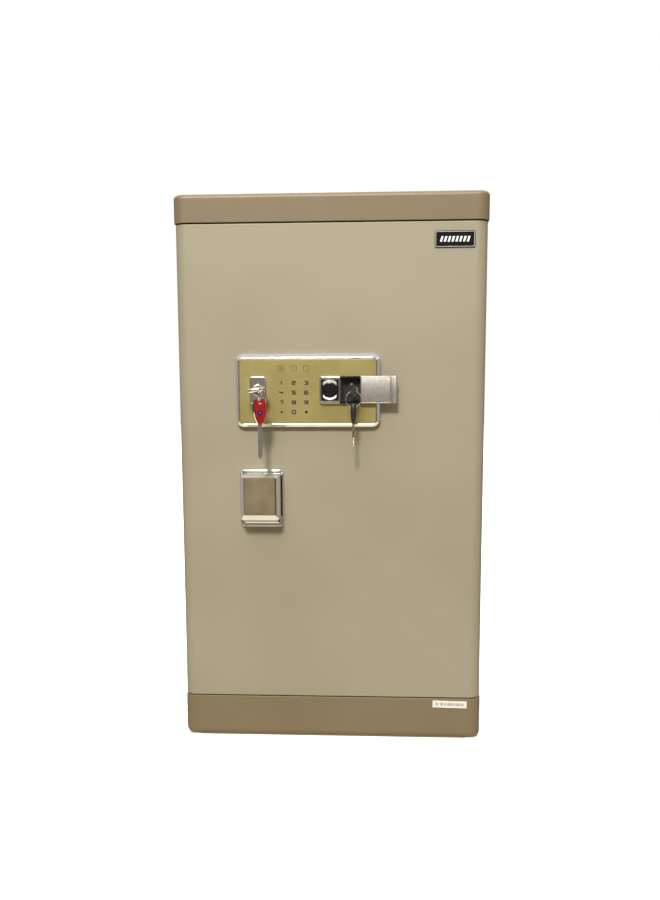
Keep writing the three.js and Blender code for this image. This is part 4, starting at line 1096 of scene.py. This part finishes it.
def build_recess():
    low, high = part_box("key_recess")
    wall, floor = 1 * mm, 1 * mm
    profile = [(3 * mm, high.y), (0, high.y), (0, low.y),
               (wall, low.y), (wall, high.y - floor), (3 * mm, high.y - floor)]
    well = moulded("key_well", spans_of("key_recess"), 1.5 * mm, profile, facing)
    at = middle_of("emergency_lock_barrel")
    bore = rod("bore", (at.x, at.z), 7.3 * mm, (high.y - 4 * mm, high.y + mm), facing)
    settle(carved(well, bore), black_plastic, "key_recess")


def build_cover():
    low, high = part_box("key_cover")
    neck = refined("cover_slide", "key_cover", 0.2 * mm, chrome)
    keep = moulded("front_part", ((low.x - mm, high.x + mm), (low.z - mm, high.z + mm)), 0,
                   [(0, low.y - mm), (0, low.y + 1.7 * mm)], facing)
    carved(neck, keep)
    ridge_x, groove_x = high.x - 6.2 * mm, high.x - 9.0 * mm
    front, back = low.y, low.y + 1.75 * mm
    section = eased([
        (low.x, back, 0), (low.x, front + 0.4 * mm, 0.3 * mm),
        (low.x + 1.2 * mm, front + 0.25 * mm, 0.3 * mm),
        (groove_x, front + 0.25 * mm, 0.2 * mm), (groove_x + 0.8 * mm, front + 1.2 * mm, 0.2 * mm),
        (ridge_x - 0.5 * mm, front + 1.2 * mm, 0.2 * mm), (ridge_x + 0.2 * mm, front, 0.35 * mm),
        (high.x - 1.6 * mm, front, 0.8 * mm), (high.x, front + 1.3 * mm, 0.3 * mm), (high.x, back, 0),
    ], 4)
    heights = [(0.5 * mm, low.z), (0.12 * mm, low.z + 0.12 * mm), (0, low.z + 0.5 * mm),
               (0, high.z - 0.5 * mm), (0.12 * mm, high.z - 0.12 * mm), (0.5 * mm, high.z)]
    loops = [[(x, min(back, y + sink), z) for x, y in section] for sink, z in heights]
    settle(skinned("cover_plate", loops), blasted, body="cover", slot="chrome")

    inset = 1.6 * mm
    trim_spans = ((low.x + 0.5 * mm, groove_x - 0.2 * mm), (low.z + 0.7 * mm, high.z - 0.7 * mm))
    y = front + 0.25 * mm
    profile = eased([(0, y + 0.1 * mm, 0), (0.1 * mm, front + 0.02 * mm, 0.1 * mm),
                     (inset * 0.5, front + 0.02 * mm, 0.1 * mm), (inset * 0.6, y + 0.1 * mm, 0)], 3)
    border = moulded("cover_border", trim_spans, 0.8 * mm, profile, facing, closed=True)
    settle(border, chrome, body="cover", slot="chrome")


build_tray()
build_reader()
build_recess()
build_cover()

# ---------------------------------------------------------------- handle
# The handle is a chromed casting that turns on a spindle in a chromed plate. Its grip is a
# deep frame with rolled edges, and a satin taupe plate is let into its front.


def taupe_satin(name):
    """Anodised taupe sheet with a satin finish, clouded a little by hands."""
    material, start, place = open_finish(name)
    satin = start.node("ShaderNodeMapping", {}, {"Vector": place, "Scale": (1900, 1900, 60)})
    lines = satin.node("ShaderNodeTexNoise", {}, {"Vector": satin, "Scale": 1.0, "Detail": 3.0})
    touch = cloudy(place, 34.0, 3.0).smooth(0.3, 0.7)
    sockets = {
        "Base Color": (lines * 0.3 + touch * 0.7).mix(rgb(128, 113, 86), rgb(143, 129, 102)),
        "Metallic": 0.55,
        "Roughness": lines * 0.1 + touch * 0.08 + 0.36,
        "Normal": relief(lines, 0.02 * mm, 0.5),
    }
    close_finish(start, sockets)
    return material


def build_handle_plate():
    low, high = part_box("handle_escutcheon")
    bead, tray = 1.7 * mm, 2.6 * mm
    profile = eased([
        (1 * mm, high.y, 0), (0, high.y - 0.4 * mm, 0.3 * mm), (0, low.y + 1.5 * mm, 0.9 * mm),
        (0.9 * mm, low.y, 0.6 * mm), (bead, low.y, 0.5 * mm), (tray, low.y + 1.3 * mm, 0.5 * mm),
        (6 * mm, low.y + 1.5 * mm, 0.6 * mm), (8 * mm, low.y + 0.2 * mm, 0),
        (10 * mm, low.y + 0.2 * mm, 0),
    ], 6)
    plate = moulded("handle_plate", spans_of("handle_escutcheon"), 6 * mm, profile, facing, steps=10)
    at = middle_of("handle_escutcheon")
    bore = rod("bore", (at.x, at.z), 5.5 * mm, (low.y - mm, high.y + mm), facing)
    settle(carved(plate, bore), chrome, "handle_escutcheon")


def build_grip():
    low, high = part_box("handle_knob")
    face_low, face_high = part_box("handle_face_plate")
    around = (face_low.x - low.x, high.x - face_high.x, face_low.z - low.z, high.z - face_high.z)

    def inward(share, extra=0.0):
        return tuple(share * side + extra for side in around)

    front, back = low.y, high.y
    profile = [
        (inward(0.9), back), (inward(0, 0.5 * mm), back), (inward(0, 0.1 * mm), back - 0.3 * mm),
        (inward(0), back - 1.0 * mm), (inward(0), back - 3.0 * mm), (inward(0.01), front + 6.4 * mm),
        (inward(0.03), front + 5.4 * mm), (inward(0.07), front + 4.6 * mm), (inward(0.15), front + 3.8 * mm),
        (inward(0.30), front + 2.9 * mm), (inward(0.50), front + 1.9 * mm), (inward(0.70), front + 0.9 * mm),
        (inward(0.84), front + 0.2 * mm), (inward(0.90), front), (inward(0.95), front + 0.3 * mm),
        (inward(0.97), front + 1.0 * mm), (inward(0.98), front + 2.0 * mm),
        (inward(1, 2 * mm), front + 2.0 * mm),
    ]
    spans = ((low.x, high.x), (low.z, high.z))
    grip = moulded("handle_grip", spans, 5.5 * mm, profile, facing, steps=10)
    at = middle_of("handle_escutcheon")
    socket = rod("socket", (at.x, at.z), 5.3 * mm, (back - 12 * mm, back + mm), facing)
    settle(carved(grip, socket), chrome, "handle_knob")

    spans = spans_of("handle_face_plate", -0.3 * mm)
    edge = 2 * mm
    y = front + 0.25 * mm
    profile = eased([(edge, y, 0), (0, y, 0.4 * mm),
                     (0, front + 1.9 * mm, 0), (edge, front + 1.9 * mm, 0)], 4)
    inlay = moulded("handle_inlay", spans, 1.6 * mm, profile, facing)
    settle(inlay, taupe_satin("taupe_satin"), "handle_face_plate")


build_handle_plate()
build_grip()
refined("spindle", "handle_spindle", 0.5 * mm, zinc)

# ---------------------------------------------------------------- main lock and its keys
# A chromed rosette surrounds the cylinder in its brass plug. A flat chromed key stands in it,
# and the spare hangs below on a split ring: a steel blade milled in waves, in a red plastic head.


def turned_disc(name, at, rings, place=facing, steps=64):
    """A solid turned about the axis through that point, from (radius, depth) pairs."""
    around = [2 * math.pi * step / steps for step in range(steps)]
    loops = [[place(at[0] + r * math.cos(a), at[1] + r * math.sin(a), d) for a in around] for r, d in rings]
    return skinned(name, loops)


def build_main_rosette():
    low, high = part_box("main_lock_escutcheon")
    at = middle_of("main_lock_barrel")
    profile = eased([(4 * mm, low.y, 0), (1.5 * mm, low.y, 0.9 * mm), (0, low.y + 1.5 * mm, 0.7 * mm),
                     (0, high.y, 0), (4 * mm, high.y, 0)], 5)
    plate = moulded("main_escutcheon", spans_of("main_lock_escutcheon"), 4 * mm, profile, facing)
    bore = rod("bore", (at.x, at.z), 9.3 * mm, (low.y - mm, high.y + mm), facing, 64)
    settle(carved(plate, bore), chrome, "main_lock_escutcheon")

    barrel_low, barrel_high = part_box("main_lock_barrel")
    front = barrel_low.y - 2.6 * mm
    rings = eased([(3 * mm, barrel_high.y, 0), (8.8 * mm, barrel_high.y, 0.6 * mm),
                   (8.8 * mm, front + 1 * mm, 0),
                   (8.8 * mm, front, 1.2 * mm), (6.9 * mm, front, 0.5 * mm), (6.4 * mm, front + 1.6 * mm, 0),
                   (3 * mm, front + 1.6 * mm, 0)], 5)
    cylinder = turned_disc("main_cylinder", (at.x, at.z), rings)
    core = rod("core", (at.x, at.z), 6.2 * mm, (front - mm, barrel_high.y + mm), facing, 64)
    settle(carved(cylinder, core), chrome, "main_lock_barrel")
    refined("main_plug", "main_lock_plug", 0.3 * mm, brass)


def turned_about(piece, node, degrees):
    """Turns a piece made upright about the axis of its lock, to its place at rest."""
    at = middle_of(node)
    turn = Matrix.Translation(at) @ Matrix.Rotation(math.radians(degrees), 4, "Y") @ Matrix.Translation(-at)
    piece.data.transform(turn)
    return piece


def pillow(name, outline, spans, place):
    """An outline in its own plane with a rounded edge: spans is (middle, half thickness)."""
    middle_depth, half = spans
    centre = sum((Vector(point) for point in outline), Vector((0, 0))) / len(outline)
    loops = []
    steps = 10
    for step in range(steps + 1):
        angle = math.pi * (step / steps - 0.5)
        shrink = half * 0.9 * (1 - math.cos(angle))
        ring = []
        for point in outline:
            toward = centre - Vector(point)
            ring.append(Vector(point) + toward.normalized() * min(shrink, toward.length * 0.9))
        loops.append([place(u, v, middle_depth + half * math.sin(angle)) for u, v in ring])
    return skinned(name, loops, sharp=60)


def joined(name, *parts):
    """Several meshes as one piece."""
    work = bmesh.new()
    for part in parts:
        work.from_mesh(part.data)
        bpy.data.objects.remove(part)
    mesh = bpy.data.meshes.new(name)
    work.to_mesh(mesh)
    work.free()
    piece = bpy.data.objects.new(name, mesh)
    scene.collection.objects.link(piece)
    return shade(piece)


def build_main_key():
    low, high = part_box("main_key")
    at = middle_of("main_lock_barrel")
    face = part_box("main_lock_barrel")[0].y
    bow_long, bow_wide, bow_half = 24 * mm, 29 * mm, 3.1 * mm
    outline = []
    for step in range(48):
        angle = 2 * math.pi * step / 48
        fullness = 2.6
        c, s = math.cos(angle), math.sin(angle)
        u = at.x + bow_wide / 2 * math.copysign(abs(c) ** (2 / fullness), c)
        v = low.y + bow_long / 2 + bow_long / 2 * math.copysign(abs(s) ** (2 / fullness), s)
        outline.append((u, v))
    bow = pillow("main_key_bow", outline, (at.z, bow_half), standing)
    slot_x = at.x + SLOT_ASIDE
    slot_spans = ((slot_x - 3 * mm, slot_x + 3 * mm), (low.y + 2.5 * mm, low.y + 11 * mm))
    slot = moulded("slot", slot_spans, 2.9 * mm, [(0, at.z - 5 * mm), (0, at.z + 5 * mm)], standing)
    recess_spans = ((at.x - 10.5 * mm, at.x + 10.5 * mm), (low.y + 13 * mm, low.y + 20 * mm))
    recesses = []
    for side in (-1, 1):
        floor = at.z + side * (bow_half - 0.5 * mm)
        beyond = at.z + side * (bow_half + 2 * mm)
        reach = [(0, min(floor, beyond)), (0, max(floor, beyond))]
        recesses.append(moulded("recess", recess_spans, 3 * mm, reach, standing))
    carved(bow, slot, *recesses)

    neck_half = 5 * mm
    neck = eased([(at.x - neck_half, face - 0.3 * mm, 0), (at.x - neck_half, low.y + bow_long - mm, 0),
                  (at.x + neck_half, low.y + bow_long - mm, 0), (at.x + neck_half, face - 0.3 * mm, 0)])
    collar = skinned("collar", [[standing(u, v, at.z + d) for u, v in neck] for d in (-1.5 * mm, 1.5 * mm)])
    blade_spans = ((at.x - 4.2 * mm, at.x + 4.2 * mm), (face - 1.2 * mm, high.y))
    blade_profile = [(0.2 * mm, at.z - 0.85 * mm), (0, at.z - 0.6 * mm),
                     (0, at.z + 0.6 * mm), (0.2 * mm, at.z + 0.85 * mm)]
    blade = moulded("blade", blade_spans, 1.5 * mm, blade_profile, standing)
    key = joined("main_key_in_lock", bow, collar, blade)
    settle(turned_about(key, "main_lock_barrel", -MAIN_REST), chrome, "main_key")


def coil_tree(finish):
    """A wire wound in a flat coil about Z."""
    given = tree_of("split_ring", {"Radius": "Float", "Wire": "Float", "Rise": "Float", "Turns": "Float"})
    line = given.node("GeometryNodeCurveSpiral", {}, {
        "Resolution": 48, "Rotations": given.other("Turns"), "Start Radius": given.other("Radius"),
        "End Radius": given.other("Radius"), "Height": given.other("Rise")})
    section = line.node("GeometryNodeCurvePrimitiveCircle", {"mode": "RADIUS"},
                        {"Resolution": 10, "Radius": given.other("Wire")})
    wire = line.node("GeometryNodeCurveToMesh", {}, {
        "Curve": line, "Profile Curve": section, "Fill Caps": True})
    return end_tree(wire, finish)


def build_split_ring(name, node, tree, across):
    """A split ring of a turn and three quarters, lying across that axis."""
    low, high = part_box(node)
    at = middle_of(node)
    wire = 0.62 * mm
    radius = (high.z - low.z) / 2 - wire - 0.25 * mm
    rise = 1.15 * mm
    values = {"Radius": radius, "Wire": wire, "Rise": rise, "Turns": 1.75}
    ring = grown(name, tree, [(0, 0, 0)], [], values)
    turn = Matrix.Rotation(math.pi / 2, 4, "Y" if across == "X" else "X")
    ring.data.transform(Matrix.Translation(at) @ turn @ Matrix.Translation((0, 0, -rise / 2)))
    settle(ring, bright_steel, node)


def tapered(name, at, stations, squareness, place, steps=40):
    """A solid round a straight line: each station is (along, half width, half depth, shift)."""
    loops = []
    for along, wide, deep, shift in stations:
        ring = []
        for step in range(steps):
            angle = 2 * math.pi * step / steps
            c, s = math.cos(angle), math.sin(angle)
            u = math.copysign(abs(c) ** (2 / squareness), c) * wide + shift
            v = math.copysign(abs(s) ** (2 / squareness), s) * deep
            ring.append(place(at[0] + u, at[1] + v, along))
        loops.append(ring)
    return skinned(name, loops, sharp=50)


def red_moulding(name):
    """Glossy red plastic, a shade deeper where it is thick."""
    material, start, place = open_finish(name)
    depth = cloudy(place, 160.0, 2.0).smooth(0.3, 0.7)
    scuff = cloudy(place, 900.0, 3.0).smooth(0.6, 0.8)
    sockets = {
        "Base Color": depth.mix(rgb(128, 8, 16), rgb(150, 16, 22)),
        "Roughness": scuff * 0.25 + 0.22,
        "Normal": relief(depth, 0.04 * mm, 0.5),
        "Coat Weight": 0.4,
    }
    close_finish(start, sockets)
    return material


def painted_highlight_moulding(name):
    # A pale finish for a painted highlight, with darker random patches.
    material, start, place = open_finish(name)
    grime = cloudy(place, 240.0, 3.0).smooth(0.45, 0.8)
    sockets = {
        "Base Color": grime.mix(rgb(226, 216, 190), rgb(186, 172, 142)),
        "Roughness": grime * 0.2 + 0.35,
        "Normal": relief(grime, 0.03 * mm),
    }
    close_finish(start, sockets)
    return material


def build_main_spare():
    low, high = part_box("main_spare_key")
    at = middle_of("main_spare_key")
    head_top, head_low = high.z, high.z - 36 * mm
    wide, deep = 8.5 * mm, 2.5 * mm

    def width_at(share):
        """Half the head's width, from 0 at its top to 1 at its foot."""
        if share < 0.45:
            return wide * (0.86 + 0.14 * math.sin(math.pi / 2 * share / 0.45))
        return wide * max(0.10, math.cos(math.pi / 2 * (share - 0.45) / 0.57)) ** 0.62

    stations = []
    for step in range(25):
        share = step / 24
        depth_here = deep * (0.72 + 0.28 * math.sin(math.pi * min(1, share + 0.08)))
        stations.append((head_top - share * (head_top - head_low), width_at(share), depth_here, 0.5 * mm))
    head = tapered("spare_head", (at.x, at.y), stations, 3.2, standing)
    through = (low.y - mm, high.y + mm)
    hole_at = (at.x + 0.5 * mm, head_top - 5.4 * mm)
    notch = rod("notch", (at.x + 0.5 * mm, head_top + 1.0 * mm), 3.4 * mm, through, facing, 4)
    hole = rod("hole", hole_at, 2.4 * mm, through, facing)
    settle(carved(head, notch, hole), red_moulding("red_plastic"), "main_spare_key")

    shell_stations = [(z, w * 1.0, d * 0.7, -1.5 * mm) for z, w, d, _ in stations]
    back_shell = tapered("spare_back_shell", (at.x, at.y + 0.7 * mm), shell_stations[1:-1], 3.2, standing)
    hole = rod("hole", hole_at, 3.2 * mm, through, facing)
    settle(carved(back_shell, hole), black_plastic, body="main_spare", slot="black_plastic")

    # A pale strip round the lower half of the red head's edge is a painted highlight on its rim.
    rim_stations = [(z - 0.5 * mm, w * 1.02, d * 0.45, -0.5 * mm) for z, w, d, _ in stations[12:]]
    rim = tapered("spare_ivory_rim", (at.x, at.y - 0.2 * mm), rim_stations, 3.2, standing)
    settle(rim, painted_highlight_moulding("painted_highlight_pale_plastic"), body="main_spare", slot="label")

    badge_at = (at.x + 0.5 * mm, head_top - 19.0 * mm)
    front = at.y - deep - 0.15 * mm
    dots = [("spare_dot", 4.0, 0.0, (14, 16, 52)), ("spare_dot_centre", 1.5, 0.12, (74, 84, 140))]
    for name, radius, rise, colour in dots:
        y = front - rise * mm
        rings = [(radius * mm, y + 0.6 * mm), (radius * mm, y + 0.2 * mm),
                 ((radius - 0.2) * mm, y), (0.5 * mm, y - 0.05 * mm)]
        dot = turned_disc(name, badge_at, rings, steps=32)
        settle(dot, printed_ink(name + "_ink", rgb(*colour), 0.25), body="main_spare", slot="gloss_black")

    build_spare_blade((at.x, at.y), head_low + 4 * mm, low.z)


def build_spare_blade(at, top, foot):
    """A flat blade with a groove milled in waves down both faces, narrowing at its tip."""
    half_wide, half_deep, groove, cut_deep = 3.1 * mm, 1.0 * mm, 1.0 * mm, 0.5 * mm
    loops = []
    steps = 72
    for step in range(steps + 1):
        share = step / steps
        z = top - (top - foot) * share
        tip = min(1.0, (1 - share) * 14 + 0.25)
        wide = half_wide * tip
        sway = 1.1 * mm * math.sin(share * 34) * min(1, share * 5) * tip
        shape = [(-wide, -half_deep * 0.7), (-wide + 0.4 * mm * tip, -half_deep)]
        shape += [(sway - groove * tip, -half_deep), (sway - groove * 0.6 * tip, -half_deep + cut_deep)]
        shape += [(sway + groove * 0.6 * tip, -half_deep + cut_deep), (sway + groove * tip, -half_deep)]
        shape += [(wide - 0.4 * mm * tip, -half_deep), (wide, -half_deep * 0.7)]
        shape += [(-u, -v) for u, v in shape]
        loops.append([(at[0] + u, at[1] + v, z) for u, v in shape])
    blade = skinned("spare_blade", loops, sharp=25)
    settle(blade, bright_steel, body="main_spare", slot="chrome")


# The plug and the keys stand turned a little in their locks.
MAIN_REST = 8
EMERGENCY_REST = 17
# The ring's slot stands this far to the right of the middle of the main key's bow.
SLOT_ASIDE = 7 * mm

build_main_rosette()
build_main_key()
ring_tree = coil_tree(bright_steel)
build_split_ring("main_split_ring", "main_key_ring", ring_tree, "X")
build_main_spare()

# ---------------------------------------------------------------- emergency lock and its keys
# The lock's nose stands in the black recess. Its round key has a slim black head, and the
# spare hangs from it on a split ring, with a turned and fluted brass-coloured shaft.


def build_emergency_lock():
    low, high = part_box("emergency_lock_barrel")
    at = middle_of("emergency_lock_barrel")
    rings = eased([(3 * mm, high.y, 0), (7 * mm, high.y, 0.5 * mm), (7 * mm, low.y, 1.0 * mm),
                   (5.0 * mm, low.y, 0.3 * mm), (4.8 * mm, low.y + mm, 0), (3 * mm, low.y + mm, 0)], 5)
    nose = turned_disc("emergency_nose", (at.x, at.z), rings)
    core = rod("core", (at.x, at.z), 4.62 * mm, (low.y - mm, high.y + mm), facing, 48)
    settle(carved(nose, core), chrome, "emergency_lock_barrel")
    refined("emergency_plug", "emergency_lock_plug", 0.3 * mm, brass)


def build_emergency_key():
    low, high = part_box("emergency_key")
    at = middle_of("emergency_lock_barrel")
    head_back = low.y + 24 * mm
    half_wide, half_tall = 4.5 * mm, 12 * mm
    stations = []
    for step in range(17):
        share = step / 16
        swell = math.sin(math.pi * min(1, max(0, 0.10 + 0.84 * share))) ** 0.35
        taper = 1 - 0.34 * max(0, share - 0.55) / 0.45
        stations.append((low.y + share * (head_back - low.y), half_wide * swell * taper ** 0.5,
                         half_tall * swell * taper, 0))
    head = tapered("key_head", (at.x, at.z), stations, 2.8, facing)
    hole = rod("hole", (low.y + 8 * mm, at.z), 4 * mm, (at.x - 9 * mm, at.x + 9 * mm), sideways)
    carved(head, hole)
    settle(turned_about(head, "emergency_lock_barrel", -EMERGENCY_REST), black_plastic, "emergency_key")

    radius = 2.5 * mm
    rings = eased([(0.6 * mm, head_back - 3 * mm, 0), (3.6 * mm, head_back - 3 * mm, 0.5 * mm),
                   (3.6 * mm, head_back + 3 * mm, 0.8 * mm), (radius, head_back + 3.4 * mm, 0),
                   (radius, high.y, 0.5 * mm), (0.6 * mm, high.y, 0)], 4)
    shaft = turned_disc("emergency_shaft", (at.x, at.z), rings, steps=32)
    settle(shaft, bright_steel, body="emergency_key_body", slot="zinc_steel")


def gilt_shaft(name):
    """Brass-plated shaft, rubbed through to grey along its ridges."""
    material, start, place = open_finish(name)
    rub = cloudy(place, 500.0, 3.0).smooth(0.4, 0.7)
    sockets = {
        "Base Color": rub.mix((0.66, 0.53, 0.30, 1), (0.52, 0.50, 0.44, 1)),
        "Metallic": 1.0,
        "Roughness": rub * 0.2 + 0.2,
        "Normal": relief(rub, 0.04 * mm),
    }
    close_finish(start, sockets)
    return material


def build_emergency_spare():
    low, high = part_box("emergency_spare_key")
    at = middle_of("emergency_spare_key")
    head_low = high.z - 28 * mm
    half_wide, half_deep = 4.4 * mm, 9 * mm
    stations = []
    for step in range(21):
        share = step / 20
        swell = math.sin(math.pi * min(1, 0.13 + 0.80 * share)) ** 0.4
        taper = 1 - 0.30 * share
        stations.append((high.z - share * 28 * mm, half_wide * swell * taper ** 0.4,
                         half_deep * swell * taper, 0))
    head = tapered("spare_key_head", (at.x, at.y), stations, 2.8, standing)
    hole_z = high.z - 6.5 * mm
    hole = rod("hole", (at.y, hole_z), 4 * mm, (at.x - 9 * mm, at.x + 9 * mm), sideways)
    settle(carved(head, hole), black_plastic, "emergency_spare_key")

    radius = 1.75 * mm
    line = [(0.5 * mm, head_low + 3 * mm), (2.6 * mm, head_low + 3 * mm), (2.6 * mm, head_low - 1.2 * mm),
            (radius, head_low - 2.2 * mm), (radius, low.z + 15 * mm)]
    beads = 5
    for step in range(beads * 8 + 1):
        share = step / (beads * 8)
        swell = 0.55 * mm * abs(math.sin(math.pi * beads * share))
        line.append((radius - 0.2 * mm + swell, low.z + 15 * mm - share * 13.6 * mm))
    line += [(radius * 0.8, low.z + 0.5 * mm), (0.8 * mm, low.z)]
    shaft = turned_disc("spare_key_shaft", (at.x, at.y), line, standing, steps=24)
    settle(shaft, gilt_shaft("gilt_shaft"), body="emergency_spare", slot="brass")


build_emergency_lock()
build_emergency_key()
build_split_ring("emergency_split_ring", "emergency_key_ring", ring_tree, "Y")
build_emergency_spare()

# ---------------------------------------------------------------- badge and sticker
# A black enamelled plate with a fine bright border is glued to the door's upper right corner,
# and a white film sticker to the base. Both are kept blank but for plain strokes and bars.


def build_badge():
    low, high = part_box("name_badge")
    edge = 1.5 * mm
    profile = eased([(edge, low.y, 0), (0, low.y, 0.35 * mm), (0, high.y, 0), (edge, high.y, 0)], 4)
    plate = moulded("badge_plate", spans_of("name_badge"), 2 * mm, profile, facing)
    settle(plate, polished_black, "name_badge")


def slant_tree(finish):
    """A row of slanting bars, set out along X from the seed point."""
    given = tree_of("slanting_bars", {"Count": "Int", "Pitch": "Float", "Bar": "Vector"})
    step = given.node("ShaderNodeCombineXYZ", {}, {"X": given.other("Pitch")})
    row = given.node("GeometryNodeMeshLine", {}, {"Count": given.other("Count"), "Offset": step})
    bar = given.node("GeometryNodeMeshCube", {}, {"Size": given.other("Bar")})
    placed = given.node("GeometryNodeInstanceOnPoints", {}, {"Points": row, "Instance": bar})
    return end_tree(placed, finish)


def build_badge_bars():
    low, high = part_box("name_badge")
    at = middle_of("name_badge")
    count, pitch = 8, 5.4 * mm
    tall, thick = 7.6 * mm, 0.10 * mm
    values = {"Count": count, "Pitch": pitch, "Bar": (3.0 * mm, tall, thick)}
    bars = grown("badge_bars", slant_tree(white_ink), [(0, 0, 0)], [], values)
    lean = 0.30
    start_x = at.x - pitch * (count - 1) / 2
    for vertex in bars.data.vertices:
        vertex.co = (vertex.co.x + lean * vertex.co.y + start_x, vertex.co.y + at.z, vertex.co.z)
    settle(stand_up(bars, low.y - thick / 2 + 0.02 * mm), white_ink, body="door", slot="label")

    inset = 1.1 * mm
    spans = ((low.x + inset, high.x - inset), (low.z + inset, high.z - inset))
    y, thin = low.y, 0.45 * mm
    profile = [(0, y), (0, y - 0.06 * mm), (thin, y - 0.06 * mm), (thin, y)]
    line = moulded("badge_border", spans, 1.2 * mm, profile, facing, closed=True)
    settle(line, white_ink, body="door", slot="label")


def film(name):
    """White printed film, yellowed a little."""
    material, start, place = open_finish(name)
    age = cloudy(place, 110.0, 3.0).smooth(0.35, 0.75)
    sockets = {
        "Base Color": age.mix(rgb(226, 221, 210), rgb(206, 199, 184)),
        "Roughness": age * 0.15 + 0.42,
        "Normal": relief(age, 0.05 * mm, 0.6),
    }
    close_finish(start, sockets)
    return material


def bar_tree(finish):
    """Upright bars of uneven width at the seed's points."""
    given = tree_of("uneven_bars", {"Bar": "Vector", "Seed": "Int"})
    bar = given.node("GeometryNodeMeshCube", {}, {"Size": given.other("Bar")})
    wide = given.node("FunctionNodeRandomValue", {"data_type": "FLOAT"},
                      {2: 0.35, 3: 1.35, "Seed": given.other("Seed")}, 1)
    size = given.node("ShaderNodeCombineXYZ", {}, {"X": wide, "Y": 1.0, "Z": 1.0})
    placed = given.node("GeometryNodeInstanceOnPoints", {}, {
        "Points": given.other("Seed shape"), "Instance": bar, "Scale": size})
    return end_tree(placed, finish)


def build_sticker():
    low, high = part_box("serial_label")
    at = middle_of("serial_label")
    tilt = math.radians(1.15)
    wide, tall = 51.2 * mm, 10.7 * mm
    front, back = low.y, high.y
    spans = ((at.x - wide / 2, at.x + wide / 2), (at.z - tall / 2, at.z + tall / 2))
    edge = 0.6 * mm
    profile = eased([(edge, front, 0), (0, front, 0.08 * mm), (0, back, 0), (edge, back, 0)], 3)
    sticker = moulded("sticker", spans, 0.9 * mm, profile, facing)
    lean = Matrix.Translation(at) @ Matrix.Rotation(tilt, 4, "Y") @ Matrix.Translation(-at)
    sticker.data.transform(lean)
    settle(sticker, film("printed_film"), "serial_label")

    count, pitch, thick = 20, 2.15 * mm, 0.04 * mm
    points = [(at.x + (i - (count - 1) / 2) * pitch, at.z, 0) for i in range(count)]
    values = {"Bar": (0.9 * mm, 4.6 * mm, thick), "Seed": 7}
    bars = grown("sticker_bars", bar_tree(black_ink), points, [], values)
    stand_up(bars, front - thick / 2 + 0.01 * mm)
    bars.data.transform(lean)
    settle(bars, black_ink, body="cabinet", slot="label")


white_ink = printed_ink("white_ink", (0.72, 0.71, 0.69, 1), 0.4)
build_badge()
build_badge_bars()
build_sticker()
